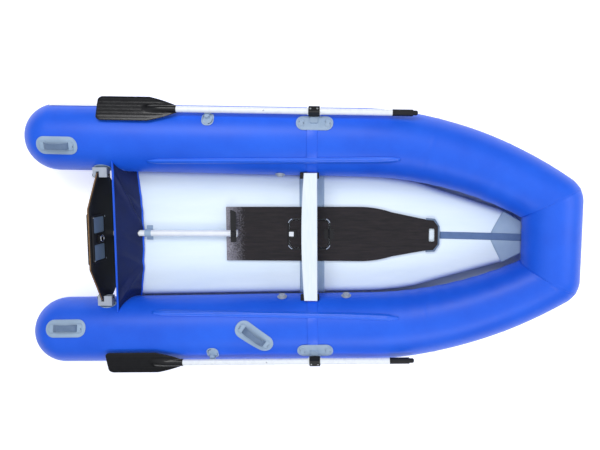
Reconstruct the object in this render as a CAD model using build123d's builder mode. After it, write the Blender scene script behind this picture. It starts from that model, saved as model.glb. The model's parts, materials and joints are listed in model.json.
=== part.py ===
from build123d import *
import os
from math import asin, atan, cos, degrees, radians, sin, sqrt, tan

os.makedirs("parts", exist_ok=True)

# An inflatable tender: a horseshoe of air tubes round a stiff air floor, with a plywood
# transom, a floorboard with a hatch, a thwart, a drain valve and two stowed oars.
# +X is the bow, +Y is port, +Z is up. The origin is at the middle of the footprint.
# "side" is 1 for port and -1 for starboard. All sizes are in millimetres.

# ---- hull: driving dimensions ----
overall_length = 3216
tube_radius = 200
bow_radius = 158
axis_half_beam = 558  # tube axis from the centre plane, at x = 0
toe_in = 1.5  # degrees that each side tube turns in towards the bow
bend_start = 402  # x where the tubes begin to curve in
bend_radius = 1980
sheer_start = 225  # x where the tubes and the floor begin to rise
sheer_radius = 4480
bulkhead_x = 125
taper_power = 1.5
curve_sections = 8
seam_band_width = 60
seam_band_thickness = 1

# ---- gaps ----
glue_line = 0.2
soft_gap = 0.3
running_gap = 0.3
hull_gap = 2.3

# ---- floor and what lies on it ----
floor_top = 128
floor_thickness = 90
floor_aft_x = -1085
floor_nose_x = 1322
floor_nose_half_width = 92
floor_shoulder_x = 730
floor_shoulder_half_width = 318
floor_clip_x = 1215
floor_clip_half_width = 158
bottom_fabric = 3
bottom_fwd_x = 1300
bottom_nose_x = 1400
bottom_nose_half_width = 190
bottom_stations = 6
band_thickness = 1
band_aft_x = 34
band_fwd_x = 186
nose_patch_x = 1220
nose_patch_point = 76
strap_width = 42
strap_thickness = 3
board_thickness = 12
board_aft_x = -415
board_half_width = 165
board_shoulder_x = 395
board_taper_x = 590
board_taper_half_width = 133
board_front_x = 858
board_front_half_width = 80
board_corner = 26
slot_length = 32
slot_width = 78
slot_centre_x = 823
edge_height = 16
edge_width = 9
edge_start_x = 790

# ---- hatch ----
hatch_centre_x = 93
hatch_length = 237
hatch_width = 169
hatch_corner = 30
hatch_gap = 3
hinge_length = 58
hinge_leaf = 24
leaf_thickness = 2.5
leaf_gap = 0.1
hinge_pin_diameter = 4
hinge_barrel = 8
pin_gap = 0.08
latch_length = 46
latch_width = 54
latch_height = 6
button_size = 28
button_height = 4
button_travel = 2.5
floor_valve_diameter = 64
floor_valve_depth = 20

# ---- transom ----
transom_x = -1131  # middle of the board, at the height of its holders
transom_z = 300
transom_rake = 6
transom_thickness = 18
transom_half_width = 380
transom_top = 152
transom_top_half_width = 175
transom_shoulder = 28
transom_knuckle = -70
transom_foot = -245
transom_foot_half_width = 235
pad_width = 278
pad_height = 150
pad_centre = 70
pad_thickness = 10
pad_corner = 14
panel_width = 100
panel_height = 122
panel_offset = 80
panel_depth = 3
block_width = 46
block_height = 60
block_depth = 14
block_hole = 30
ring_radius = 18
ring_wire = 5
screw_diameter = 10
screw_height = 3
outer_pad_width = 300
outer_pad_height = 160
outer_pad_thickness = 8

# ---- transom holders and their pins ----
holder_inner_y = 354
holder_outer_y = 412
holder_height = 52
holder_z = 306
holder_aft_x = -1163
holder_fwd_x = -1078
holder_y_slot = 388
pin_y = 367
pin_z = 306
pin_diameter = 9
pin_head_diameter = 20
pin_head_length = 9
pin_ring_radius = 15
pin_ring_wire = 4
pin_tail = 6

# ---- stern curtain ----
curtain_top_x = -1040
curtain_top_z = 348
curtain_foot_x = -948
curtain_foot_z = 132
curtain_half_width = 470
curtain_thickness = 3

# ---- drain pipe and its valve ----
pipe_y = 5
pipe_z = 162
pipe_diameter = 38
pipe_wall = 2.5
pipe_aft_x = -1140
pipe_fwd_x = -395
strap_x = -896
strap_length = 38
strap_span = 90
strap_wall = 3
valve_x = -363
valve_body_length = 40
valve_body_width = 44
valve_collar = 12
stem_diameter = 12
ball_diameter = 30
ball_bore = 22
lever_z = 186
lever_thickness = 8
lever_width = 34
lever_reach = 150
lever_stub = 50
hub_diameter = 32
hub_height = 14

# ---- thwart ----
thwart_x = 104
thwart_top = 318
thwart_thickness = 26
thwart_mid_width = 92
thwart_end_width = 77
thwart_half_length = 374
mount_length = 110
mount_depth = 34
mount_height = 22
mount_reach = 30

# ---- rails on the tubes ----
rail_y = 445
rail_width = 40
rail_height = 8
rail_aft_x = -829
rail_fwd_x = 645

# ---- patches and carry handles ----
patch_thickness = 2
patch_length = 246
patch_width = 106
handle_length = 158
handle_width = 44
handle_rise = 30
handle_strap = 6
stern_handle_x = -1342
stern_handle_angle = -16  # degrees from the top of the tube, outboard positive
mid_handle_x = -216
mid_handle_angle = 1.5
mid_handle_turn = 36
patch_corner = 42
holder_patch_x = -1112
holder_patch_angle = -62
holder_patch_length = 104
holder_patch_width = 66

# ---- rowlocks ----
rowlock_x = 136
rowlock_angle = 30
rowlock_pad_length = 209
rowlock_pad_width = 91
rowlock_pad_corner = 38
rowlock_pad_thickness = 4
oar_axis_y = 718
oar_axis_z = 374
oar_toe = 1.5  # degrees that a stowed oar turns in towards the bow
yaw_lean = 35  # degrees that the rowlock's turning axis leans outboard
collar_length = 62
collar_width = 46
collar_height = 46
turntable_diameter = 38
turntable_depth = 5
turntable_gap = 0.8
base_diameter = 62
tab_width = 42
tab_reach = 60

# ---- oars ----
shaft_diameter = 35
shaft_wall = 2
blade_end = -1241  # measured along the oar from the rowlock
blade_start = -942
blade_width = 148
blade_thickness = 10
blade_tilt = 20
blade_corner = 24
blade_neck = 161
ferrule_diameter = 44
ferrule_end = -781
ferrule_depth = 60
grip_start = 433
grip_end = 545
oar_tip = 572
grip_diameter = 37
tip_diameter = 27
plug_length = 30
stop_diameter = 42
stop_length = 6
snap_button_at = -282
snap_button_diameter = 9
snap_button_rise = 3.5
snap_button_length = 12
keeper_x = -470
keeper_patch_length = 70
keeper_patch_width = 84
keeper_block_length = 30
keeper_block_width = 34
stud_diameter = 26
stud_height = 9
stud_offset = -62

# ---- label ----
label_x = -1280
label_angle = 76
label_length = 310
label_width = 80

# ---- air valves ----
air_valves = [("port_aft", 1, -65), ("starboard_aft", -1, -59), ("bow", -1, 323)]
air_valve_angle = -76
valve_flange_diameter = 58
valve_flange_thickness = 3
valve_neck_diameter = 42
valve_neck_height = 5
cap_diameter = 38
cap_height = 7

# ---- worked out from the sizes above ----
toe = radians(toe_in)
dome_x = -overall_length / 2 + tube_radius
bow_x = overall_length / 2 - bow_radius
bend_start_y = axis_half_beam - tan(toe) * bend_start
bend_centre_x = bend_start - bend_radius * sin(toe)
bend_centre_y = bend_start_y - bend_radius * cos(toe)
sheer_centre_z = tube_radius + sheer_radius
board_bottom = floor_top + band_thickness
board_top = board_bottom + board_thickness
floor_bottom = floor_top - floor_thickness
patch_outer = tube_radius + glue_line + patch_thickness
rake = radians(transom_rake)
sides = ((1, "port"), (-1, "starboard"))


def axis_y(x):
    """Distance of a side tube's axis from the centre plane."""
    if x <= bend_start:
        return axis_half_beam - tan(toe) * x
    return bend_centre_y + sqrt(bend_radius**2 - (x - bend_centre_x) ** 2)


def sheer(x, level=tube_radius):
    """Height at x of the layer that lies at this level amidships."""
    if x <= sheer_start:
        return level
    radius = sheer_centre_z - level
    return sheer_centre_z - sqrt(radius**2 - (x - sheer_start) ** 2)


def radius_at(x):
    """Radius of a side tube, which tapers towards the bow."""
    if x <= bend_start:
        return tube_radius
    share = (x - bend_start) / (bow_x - bend_start)
    return tube_radius - (tube_radius - bow_radius) * share**taper_power


def heading(x, side):
    """Direction of a side tube's axis at x."""
    turn = toe if x <= bend_start else asin((x - bend_centre_x) / bend_radius)
    climb = max(0, asin((x - sheer_start) / sheer_radius)) if x > sheer_start else 0
    return Vector(cos(turn), -side * sin(turn), tan(climb) * cos(turn)).normalized()


def axis_at(x, side):
    return Vector(x, side * axis_y(x), sheer(x))


def section_plane(x, side):
    """Plane square to the tube's axis, with its own x axis outboard."""
    along = heading(x, side)
    outboard = Vector(-side * along.Y, side * along.X, 0).normalized() * side
    return Plane(origin=axis_at(x, side), x_dir=outboard, z_dir=along)


def turned(plane, angle):
    """The same plane turned about its own normal."""
    across = plane.x_dir * cos(radians(angle)) + plane.y_dir * sin(radians(angle))
    return Plane(origin=plane.origin, x_dir=across, z_dir=plane.z_dir)


def skin_plane(x, side, angle, height=0, turn=0):
    """Plane on the straight tube, angle degrees outboard of its top, height above the axis."""
    along = Vector(cos(toe), -side * sin(toe), 0)
    outboard = Vector(sin(toe), side * cos(toe), 0)
    lean = radians(angle)
    normal = outboard * sin(lean) + Vector(0, 0, 1) * cos(lean)
    origin = Vector(x, side * axis_y(x), tube_radius) + normal * height
    return turned(Plane(origin=origin, x_dir=along, z_dir=normal), turn)


def finish(builder, name):
    builder.part.label = name
    export_step(builder.part, f"parts/{name}.step")


def finish_group(builders, name):
    """Write matching pieces that are fixed to the same body as one node."""
    with BuildPart() as group:
        for builder in builders:
            add(builder.part)
    finish(group, name)


def corner_plane(side):
    """Mitre plane between a side tube and the bow tube, facing the bow tube."""
    along = heading(bow_x, side)
    across = Vector(0, -side, 0)
    return Plane(origin=axis_at(bow_x, side), z_dir=(along + across).normalized())


# ======================= air tubes =======================
def aft_tube(side, grow=0):
    """Straight chamber with a round end, grown outwards by an amount for its fittings."""
    along = heading(0, side)
    start = axis_at(dome_x, side)
    length = (axis_at(bulkhead_x, side) - start).length
    radius = tube_radius + grow
    with BuildPart() as tube:
        with BuildSketch(Plane(origin=start, x_dir=along, z_dir=(0, 0, 1))):
            with BuildLine():
                Line((-radius, 0), (length, 0))
                Line((length, 0), (length, radius))
                Line((length, radius), (0, radius))
                CenterArc((0, 0), radius, 90, 90)
            make_face()
        revolve(axis=Axis(start, along))
    return tube


def bow_section_stations():
    step = (bow_x - bend_start) / curve_sections
    return [bulkhead_x, sheer_start] + [bend_start + step * n for n in range(curve_sections + 1)]


def fwd_tube(side, grow=0):
    """Curved, rising and tapering chamber, from the bulkhead to the mitre at the bow."""
    with BuildPart() as tube:
        for x in bow_section_stations():
            with BuildSketch(section_plane(x, side)):
                Circle(radius_at(x) + grow)
        loft()
        if not grow:
            along = heading(bow_x, side)
            corner = axis_at(bow_x, side)
            with BuildSketch(Plane(origin=corner, x_dir=along, z_dir=section_plane(bow_x, side).x_dir)):
                with BuildLine():
                    Line((0, 0), (bow_radius, 0))
                    CenterArc((0, 0), bow_radius, 0, 90)
                    Line((0, bow_radius), (0, 0))
                make_face()
            revolve(axis=Axis(corner, along))
            split(bisect_by=corner_plane(side), keep=Keep.BOTTOM)
    return tube


def bow_tube():
    """Short tube across the bow with round corners, cut to both mitres."""
    corner = axis_at(bow_x, 1)
    half = corner.Y
    with BuildPart() as tube:
        with BuildSketch(Plane(origin=(corner.X, 0, corner.Z), x_dir=(0, 1, 0), z_dir=(1, 0, 0))):
            with BuildLine():
                Line((-half - bow_radius, 0), (half + bow_radius, 0))
                CenterArc((half, 0), bow_radius, 0, 90)
                Line((half, bow_radius), (-half, bow_radius))
                CenterArc((-half, 0), bow_radius, 90, 90)
            make_face()
        revolve(axis=Axis((corner.X, 0, corner.Z), (0, 1, 0)))
        split(bisect_by=corner_plane(1), keep=Keep.TOP)
        split(bisect_by=corner_plane(-1), keep=Keep.TOP)
    return tube


for side, name in sides:
    finish(aft_tube(side), f"tube_aft_{name}")
    finish(fwd_tube(side), f"tube_fwd_{name}")
finish(bow_tube(), "tube_bow")

with BuildPart() as seam_bands:
    for side, name in sides:
        start = bulkhead_x - seam_band_width / 2
        with BuildSketch(section_plane(start, side)):
            Circle(tube_radius + glue_line + seam_band_thickness)
            Circle(tube_radius + glue_line, mode=Mode.SUBTRACT)
        extrude(amount=seam_band_width)
finish(seam_bands, "seam_bands")


# ======================= floor =======================
def layer_face(aft_x, fwd_x, low, high):
    """Side view of a layer of the floor, flat amidships and rising to the bow."""
    aft_turn = degrees(asin(max(0, aft_x - sheer_start) / (sheer_centre_z - high)))
    fwd_turn = degrees(asin(max(0, fwd_x - sheer_start) / (sheer_centre_z - high)))
    centre = Vector(sheer_start, sheer_centre_z)
    low_radius = sheer_centre_z - low
    high_radius = sheer_centre_z - high
    with BuildLine() as outline:
        bottom = CenterArc(centre, low_radius, 270 + aft_turn, fwd_turn - aft_turn)
        top = CenterArc(centre, high_radius, 270 + aft_turn, fwd_turn - aft_turn)
        Line(bottom @ 1, top @ 1)
        if aft_x < sheer_start:
            Line((aft_x, low), bottom @ 0)
            Line((aft_x, low), (aft_x, high))
            Line((aft_x, high), top @ 0)
        else:
            Line(bottom @ 0, top @ 0)
    make_face(outline.edges())


side_view = Plane(origin=(0, 0, 0), x_dir=(1, 0, 0), z_dir=(0, -1, 0))
plan_reach = 600


def mirrored_outline(points):
    """Closed outline through the points on the port side and their mirror images."""
    Polyline(*points, *[(x, -y) for x, y in reversed(points)], close=True)


def floor_half_width(x, level):
    """Half width between the tubes at a level, less the gap beside the floor."""
    drop = tube_radius - level
    return axis_y(x) - sqrt(tube_radius**2 - drop**2) - hull_gap


def cut_tube_room(gap):
    """Take the room of both straight tubes out of a part that lies between them."""
    for side, name in sides:
        with BuildSketch(section_plane(dome_x, side)) as room:
            Circle(tube_radius + gap)
        extrude(room.sketch, amount=bend_start - dome_x, mode=Mode.SUBTRACT)


with BuildPart() as floor:
    with BuildSketch():
        with BuildLine():
            side_edge = Line(
                (floor_aft_x, floor_half_width(floor_aft_x, floor_top)),
                (bend_start, floor_half_width(bend_start, floor_top)),
            )
            shoulder = TangentArc(
                side_edge @ 1, (floor_shoulder_x, floor_shoulder_half_width), tangent=side_edge % 1
            )
            nose_side = Line(shoulder @ 1, (floor_clip_x, floor_clip_half_width))
            clip = Line(nose_side @ 1, (floor_nose_x, floor_nose_half_width))
            Line(clip @ 1, (floor_nose_x, 0))
            Line((floor_nose_x, 0), (floor_aft_x, 0))
            Line((floor_aft_x, 0), side_edge @ 0)
        make_face()
        mirror(about=Plane.XZ)
    extrude(amount=plan_reach)
    with BuildSketch(side_view):
        layer_face(floor_aft_x, floor_nose_x + floor_thickness, floor_bottom, floor_top)
    extrude(amount=plan_reach, both=True, mode=Mode.INTERSECT)
    with Locations((hatch_centre_x, 0, floor_top)):
        Hole(floor_valve_diameter / 2 + 1, floor_valve_depth)
finish(floor, "floor")

def bottom_half_width(x):
    """Half width of the bottom fabric, out to the tubes at its level."""
    drop = tube_radius - floor_bottom
    return axis_y(x) - sqrt(max(0, radius_at(x) ** 2 - drop**2)) - hull_gap


bottom_step = (bottom_fwd_x - bend_start) / bottom_stations
bottom_side = [floor_aft_x] + [bend_start + bottom_step * n for n in range(bottom_stations + 1)]
with BuildPart() as hull_bottom:
    with BuildSketch():
        with BuildLine():
            mirrored_outline(
                [(x, bottom_half_width(x)) for x in bottom_side] + [(bottom_nose_x, bottom_nose_half_width)]
            )
        make_face()
    extrude(amount=plan_reach)
    with BuildSketch(side_view):
        layer_face(
            floor_aft_x, bottom_nose_x + floor_thickness, floor_bottom - bottom_fabric, floor_bottom
        )
    extrude(amount=plan_reach, both=True, mode=Mode.INTERSECT)
finish(hull_bottom, "hull_bottom")

with BuildPart() as floor_band:
    with BuildSketch(Plane.XY.offset(floor_top)):
        with BuildLine():
            mirrored_outline(
                [
                    (band_aft_x, floor_half_width(band_aft_x, floor_top)),
                    (band_fwd_x, floor_half_width(band_fwd_x, floor_top)),
                ]
            )
        make_face()
        with Locations((hatch_centre_x, 0)):
            Circle(floor_valve_diameter / 2 + 1, mode=Mode.SUBTRACT)
    extrude(amount=band_thickness)
finish(floor_band, "floor_band")

with BuildPart() as nose_patch:
    with BuildSketch():
        with BuildLine():
            mirrored_outline(
                [
                    (nose_patch_x - nose_patch_point, 0.01),
                    (nose_patch_x, floor_clip_half_width - 2),
                    (floor_nose_x, floor_nose_half_width),
                ]
            )
        make_face()
    extrude(amount=plan_reach)
    with BuildSketch(side_view):
        layer_face(nose_patch_x - 2 * nose_patch_point, floor_nose_x, floor_top, board_bottom)
    extrude(amount=plan_reach, both=True, mode=Mode.INTERSECT)
finish(nose_patch, "floor_nose_patch")

with BuildPart() as bow_strap:
    strap_start = board_front_x + edge_width + 2
    with BuildSketch(Plane.XY):
        with Locations(((strap_start + floor_nose_x) / 2, 0)):
            Rectangle(floor_nose_x - strap_start, strap_width)
    extrude(amount=plan_reach)
    with BuildSketch(side_view):
        layer_face(strap_start - 50, floor_nose_x, board_bottom, board_bottom + strap_thickness)
    extrude(amount=plan_reach, both=True, mode=Mode.INTERSECT)
finish(bow_strap, "bow_strap")

with BuildPart() as floor_valve:
    with BuildSketch(Plane.XY.offset(floor_top - floor_valve_depth)):
        Circle(floor_valve_diameter / 2)
    extrude(amount=floor_valve_depth - 3)
    chamfer(floor_valve.edges().group_by(Axis.Z)[-1], 2)
floor_valve.part.locate(Location((hatch_centre_x, 0, 0)))
finish(floor_valve, "floor_valve")


# ======================= floorboard and hatch =======================
def board_outline(grow=0):
    """Plan of the floorboard: parallel sides, a long taper and a blunt front."""
    with BuildLine() as outline:
        straight = Line((board_aft_x, board_half_width), (board_shoulder_x, board_half_width + grow))
        bend = TangentArc(
            straight @ 1, (board_taper_x, board_taper_half_width + grow), tangent=(1, 0)
        )
        taper = Line(bend @ 1, (edge_start_x, board_front_half_width + 12 + grow))
        ear = Line(taper @ 1, (board_front_x + grow - board_corner, board_front_half_width + 8 + grow))
        front = Line((board_front_x + grow, board_front_half_width - board_corner), (board_front_x + grow, 0))
        Line(ear @ 1, front @ 0)
        Line((board_front_x + grow, 0), (board_aft_x, 0))
        Line((board_aft_x, 0), straight @ 0)
    make_face(outline.edges())
    mirror(about=Plane.XZ)


with BuildPart() as floorboard:
    with BuildSketch():
        board_outline()
        with Locations((hatch_centre_x, 0)):
            RectangleRounded(
                hatch_length + 2 * hatch_gap,
                hatch_width + 2 * hatch_gap,
                hatch_corner + hatch_gap,
                mode=Mode.SUBTRACT,
            )
        with Locations((slot_centre_x, 0)):
            RectangleRounded(slot_length, slot_width, 6, mode=Mode.SUBTRACT)
    extrude(amount=plan_reach)
    with BuildSketch(side_view):
        layer_face(board_aft_x, board_front_x + 60, board_bottom, board_top)
    extrude(amount=plan_reach, both=True, mode=Mode.INTERSECT)
finish(floorboard, "floorboard")

with BuildPart() as board_edge:
    with BuildSketch():
        board_outline(edge_width)
        board_outline(soft_gap)
    extrude(amount=plan_reach)
    with BuildSketch():
        board_outline(soft_gap)
    extrude(amount=plan_reach, mode=Mode.SUBTRACT)
    with BuildSketch():
        with Locations((edge_start_x - plan_reach, 0)):
            Rectangle(2 * plan_reach, 2 * plan_reach)
    extrude(amount=plan_reach, mode=Mode.SUBTRACT)
    with BuildSketch(side_view):
        layer_face(edge_start_x - 50, board_front_x + 60, floor_top, floor_top + edge_height)
    extrude(amount=plan_reach, both=True, mode=Mode.INTERSECT)
finish(board_edge, "floorboard_edge")

with BuildPart() as hatch_lid:
    with BuildSketch(Plane.XY.offset(board_bottom)):
        with Locations((hatch_centre_x, 0)):
            RectangleRounded(hatch_length, hatch_width, hatch_corner)
    extrude(amount=board_thickness)
    chamfer(hatch_lid.edges().group_by(Axis.Z)[-1], 1.5)
finish(hatch_lid, "hatch_lid")

hinge_x = hatch_centre_x + hatch_length / 2 + hatch_gap / 2
hinge_z = board_top + hinge_barrel / 2 + running_gap
knuckle = hinge_length / 3


def hinge_leaf_part(direction, knuckles):
    """One leaf with its knuckles; direction is 1 towards the bow and -1 towards the lid."""
    with BuildPart() as leaf:
        with BuildSketch(Plane.XY.offset(board_top + leaf_gap)):
            with Locations((hinge_x + direction * (hinge_barrel / 2 + 1 + hinge_leaf / 2), 0)):
                Rectangle(hinge_leaf, hinge_length)
        extrude(amount=leaf_thickness)
        for start in knuckles:
            plane = Plane(origin=(hinge_x, start, hinge_z), x_dir=(1, 0, 0), z_dir=(0, 1, 0))
            with BuildSketch(plane):
                Circle(hinge_barrel / 2)
                with Locations((direction * hinge_barrel / 2, hinge_barrel / 2 - leaf_thickness / 2)):
                    Rectangle(hinge_barrel, leaf_thickness - 2 * running_gap)
            extrude(amount=knuckle - running_gap)
        pin_plane = Plane(origin=(hinge_x, -hinge_length / 2, hinge_z), z_dir=(0, 1, 0))
        if direction > 0:
            with BuildSketch(pin_plane):
                Circle(hinge_pin_diameter / 2)
            extrude(amount=hinge_length)
        else:
            with BuildSketch(pin_plane):
                Circle(hinge_pin_diameter / 2 + pin_gap)
            extrude(amount=hinge_length, mode=Mode.SUBTRACT)
    return leaf


outer_knuckles = (-hinge_length / 2, hinge_length / 2 - knuckle + running_gap)
finish(hinge_leaf_part(1, outer_knuckles), "hatch_hinge_board_leaf")
finish(hinge_leaf_part(-1, (-knuckle / 2 + running_gap / 2,)), "hatch_hinge_lid_leaf")

latch_x = hatch_centre_x - hatch_length / 2 + latch_length / 2 - 6
with BuildPart() as hatch_latch:
    with BuildSketch(Plane.XY.offset(board_top + running_gap)):
        with Locations((latch_x, 0)):
            RectangleRounded(latch_length, latch_width, 6)
            with Locations((-6, 0)):
                Rectangle(button_size + 2 * running_gap, button_size + 2 * running_gap, mode=Mode.SUBTRACT)
    extrude(amount=latch_height)
finish(hatch_latch, "hatch_latch")

with BuildPart() as hatch_button:
    button_bottom = board_top + running_gap + button_travel
    with BuildSketch(Plane.XY.offset(button_bottom)):
        with Locations((latch_x - 6, 0)):
            Rectangle(button_size, button_size)
    extrude(amount=board_top + running_gap + latch_height + button_height - button_bottom)
    chamfer(hatch_button.edges().group_by(Axis.Z)[-1], 1)
finish(hatch_button, "hatch_button")

# ======================= transom =======================
forward = Vector(cos(rake), 0, sin(rake))


def transom_plane(offset):
    """Plane parallel to the transom board, offset forward of its middle."""
    origin = Vector(transom_x, 0, transom_z) + forward * offset
    return Plane(origin=origin, x_dir=(0, 1, 0), z_dir=forward)


front_face = transom_thickness / 2
drain_height = (pipe_z - transom_z) / cos(rake)
with BuildPart() as transom:
    with BuildSketch(transom_plane(-front_face)):
        with BuildLine():
            Polyline(
                (transom_top_half_width, transom_top),
                (transom_half_width, transom_shoulder),
                (transom_half_width, transom_knuckle),
                (transom_foot_half_width, transom_foot),
                (-transom_foot_half_width, transom_foot),
                (-transom_half_width, transom_knuckle),
                (-transom_half_width, transom_shoulder),
                (-transom_top_half_width, transom_top),
                close=True,
            )
        make_face()
        fillet(vertices(), 12)
        with Locations((pipe_y, drain_height)):
            Circle(pipe_diameter / 2 + 2, mode=Mode.SUBTRACT)
    extrude(amount=transom_thickness)
    for side, name in sides:
        with BuildSketch(Plane(origin=(0, side * pin_y, pin_z), z_dir=(1, 0, 0))):
            Circle(pin_diameter / 2 + pin_gap)
        extrude(amount=2 * abs(transom_x), both=True, mode=Mode.SUBTRACT)
finish(transom, "transom")

with BuildPart() as motor_pad:
    with BuildSketch(transom_plane(front_face)):
        with Locations((0, pad_centre)):
            RectangleRounded(pad_width, pad_height, pad_corner)
    extrude(amount=pad_thickness)
    chamfer(motor_pad.faces().sort_by(Axis(transom_plane(0).origin, forward))[-1].edges(), 1.5)
    with BuildSketch(transom_plane(front_face + pad_thickness - panel_depth)):
        with Locations((-panel_offset, pad_centre), (panel_offset, pad_centre)):
            RectangleRounded(panel_width, panel_height, 10)
    extrude(amount=panel_depth, mode=Mode.SUBTRACT)
    with BuildSketch(transom_plane(front_face + pad_thickness)):
        with Locations((0, pad_centre)):
            RectangleRounded(block_width, block_height, 5)
            RectangleRounded(block_hole, block_hole, 3, mode=Mode.SUBTRACT)
    extrude(amount=block_depth)
finish(motor_pad, "motor_pad_inner")

with BuildPart() as pad_outer:
    with BuildSketch(transom_plane(-front_face - outer_pad_thickness)):
        with Locations((0, pad_centre)):
            RectangleRounded(outer_pad_width, outer_pad_height, pad_corner)
    extrude(amount=outer_pad_thickness)
    chamfer(pad_outer.faces().sort_by(Axis(transom_plane(0).origin, forward))[0].edges(), 2)
finish(pad_outer, "motor_pad_outer")

with BuildPart() as pad_screws:
    with BuildSketch(transom_plane(front_face + pad_thickness)):
        with Locations((0, pad_centre)):
            with GridLocations(pad_width - 2 * pad_corner, pad_height - 2 * 10, 2, 2):
                Circle(screw_diameter / 2)
    extrude(amount=screw_height)
finish(pad_screws, "pad_screws")

ring_plane = transom_plane(front_face + pad_thickness + block_depth + ring_wire / 2)
ring_centre = ring_plane.from_local_coords(Vector(0, pad_centre, 0))
ring_side = ring_plane.from_local_coords(Vector(ring_radius, pad_centre, 0))
with BuildPart() as tie_ring:
    with BuildSketch(Plane(origin=ring_side, x_dir=(0, 1, 0), z_dir=ring_plane.y_dir)):
        Circle(ring_wire / 2)
    revolve(axis=Axis(ring_centre, forward))
finish(tie_ring, "tie_ring")

# ======================= transom holders =======================
holder_low = holder_z - holder_height / 2
holder_patch_outer = patch_outer + soft_gap
with BuildPart() as transom_holders:
    for side, name in sides:
        middle_x = (holder_aft_x + holder_fwd_x) / 2
        middle_y = side * (holder_inner_y + holder_outer_y) / 2
        with BuildSketch(Plane.XY.offset(holder_low)):
            with Locations((middle_x, middle_y)):
                Rectangle(holder_fwd_x - holder_aft_x, holder_outer_y - holder_inner_y)
        extrude(amount=holder_height)
    for side, name in sides:
        with BuildSketch(transom_plane(-front_face - running_gap)):
            with Locations((side * holder_y_slot / 2, 0)):
                Rectangle(holder_y_slot, 3 * holder_height)
        extrude(amount=transom_thickness + 2 * running_gap, mode=Mode.SUBTRACT)
        with BuildSketch(Plane(origin=(0, side * pin_y, pin_z), z_dir=(1, 0, 0))):
            Circle(pin_diameter / 2 + pin_gap)
        extrude(amount=2 * abs(transom_x), both=True, mode=Mode.SUBTRACT)
    cut_tube_room(holder_patch_outer - tube_radius)
finish(transom_holders, "transom_holders")

pin_head_x = holder_aft_x - running_gap
eye_x = pin_head_x - pin_head_length / 2
bail_half = pin_head_diameter / 2 + pin_ring_wire
bail_length = 2 * pin_ring_radius
for side, name in sides:
    with BuildPart() as locking_pin:
        with BuildSketch(Plane(origin=(pin_head_x, side * pin_y, pin_z), z_dir=(1, 0, 0))):
            Circle(pin_diameter / 2)
        extrude(amount=holder_fwd_x + pin_tail - pin_head_x)
        with BuildSketch(Plane(origin=(pin_head_x, side * pin_y, pin_z), z_dir=(1, 0, 0))):
            Circle(pin_head_diameter / 2)
        extrude(amount=-pin_head_length)
        with BuildSketch(Plane(origin=(eye_x, side * pin_y, pin_z), z_dir=(0, 1, 0))):
            Circle(pin_ring_wire / 2 + pin_gap)
        extrude(amount=pin_head_diameter, both=True, mode=Mode.SUBTRACT)
    finish(locking_pin, f"locking_pin_{name}")
    with BuildPart() as pin_ring:
        eye = Plane(origin=(eye_x, side * pin_y, pin_z), x_dir=(0, 0, -1), z_dir=(1, 0, 0))
        with BuildLine(eye) as bail:
            FilletPolyline(
                (0, -bail_half),
                (bail_length, -bail_half),
                (bail_length, bail_half),
                (0, bail_half),
                radius=pin_ring_wire,
                close=True,
            )
        loop = bail.wires()[0]
        with BuildSketch(Plane(origin=loop @ 0, z_dir=loop % 0)):
            Circle(pin_ring_wire / 2)
        sweep(path=loop)
    finish(pin_ring, f"pin_ring_{name}")


# ======================= patches on the tubes =======================
def skin_patch(x, side, angle, outline, thickness=patch_thickness, turn=0):
    """Sheet bonded to an aft tube: an outline pressed onto the tube's skin."""
    inner = aft_tube(side, glue_line)
    outer = aft_tube(side, glue_line + thickness)
    with BuildPart() as patch:
        with BuildSketch(skin_plane(x, side, angle, tube_radius / 2, turn)):
            outline()
        extrude(amount=tube_radius)
        add(outer.part, mode=Mode.INTERSECT)
        add(inner.part, mode=Mode.SUBTRACT)
    return patch


def handle_outline():
    RectangleRounded(patch_length, patch_width, patch_corner)


def strap_handle(x, side, angle, turn=0):
    """Arched webbing handle standing on its patch."""
    room = aft_tube(side, glue_line + patch_thickness)
    plane = skin_plane(x, side, angle, 0, turn)
    low = tube_radius - handle_rise
    high = tube_radius + handle_rise
    foot = handle_length / 2
    knee = foot - handle_rise
    with BuildPart() as handle:
        with BuildSketch(Plane(origin=plane.origin, x_dir=plane.x_dir, z_dir=-plane.y_dir)):
            with BuildLine():
                Polyline(
                    (-foot - handle_rise, low),
                    (-knee, high),
                    (knee, high),
                    (foot + handle_rise, low),
                    (foot + handle_rise - 2 * handle_strap, low),
                    (knee - handle_strap / 2, high - handle_strap),
                    (-knee + handle_strap / 2, high - handle_strap),
                    (-foot - handle_rise + 2 * handle_strap, low),
                    close=True,
                )
            make_face()
        extrude(amount=handle_width / 2, both=True)
        add(room.part, mode=Mode.SUBTRACT)
    return handle


handles = [
    ("stern_port", stern_handle_x, 1, stern_handle_angle, 0),
    ("stern_starboard", stern_handle_x, -1, stern_handle_angle, 0),
    ("mid_starboard", mid_handle_x, -1, mid_handle_angle, mid_handle_turn),
]
handle_patches = [
    skin_patch(x, side, angle, handle_outline, turn=turn) for name, x, side, angle, turn in handles
]
finish_group(handle_patches, "handle_patches")
finish_group([strap_handle(x, side, angle, turn) for name, x, side, angle, turn in handles], "handles")


def holder_outline():
    Ellipse(holder_patch_length / 2, holder_patch_width / 2)


def label_outline():
    RectangleRounded(label_length, label_width, 8)


holder_patches = [
    skin_patch(holder_patch_x, side, holder_patch_angle, holder_outline) for side, name in sides
]
finish_group(holder_patches, "holder_patches")
finish(skin_patch(label_x, 1, label_angle, label_outline, 1), "stern_label")

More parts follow.
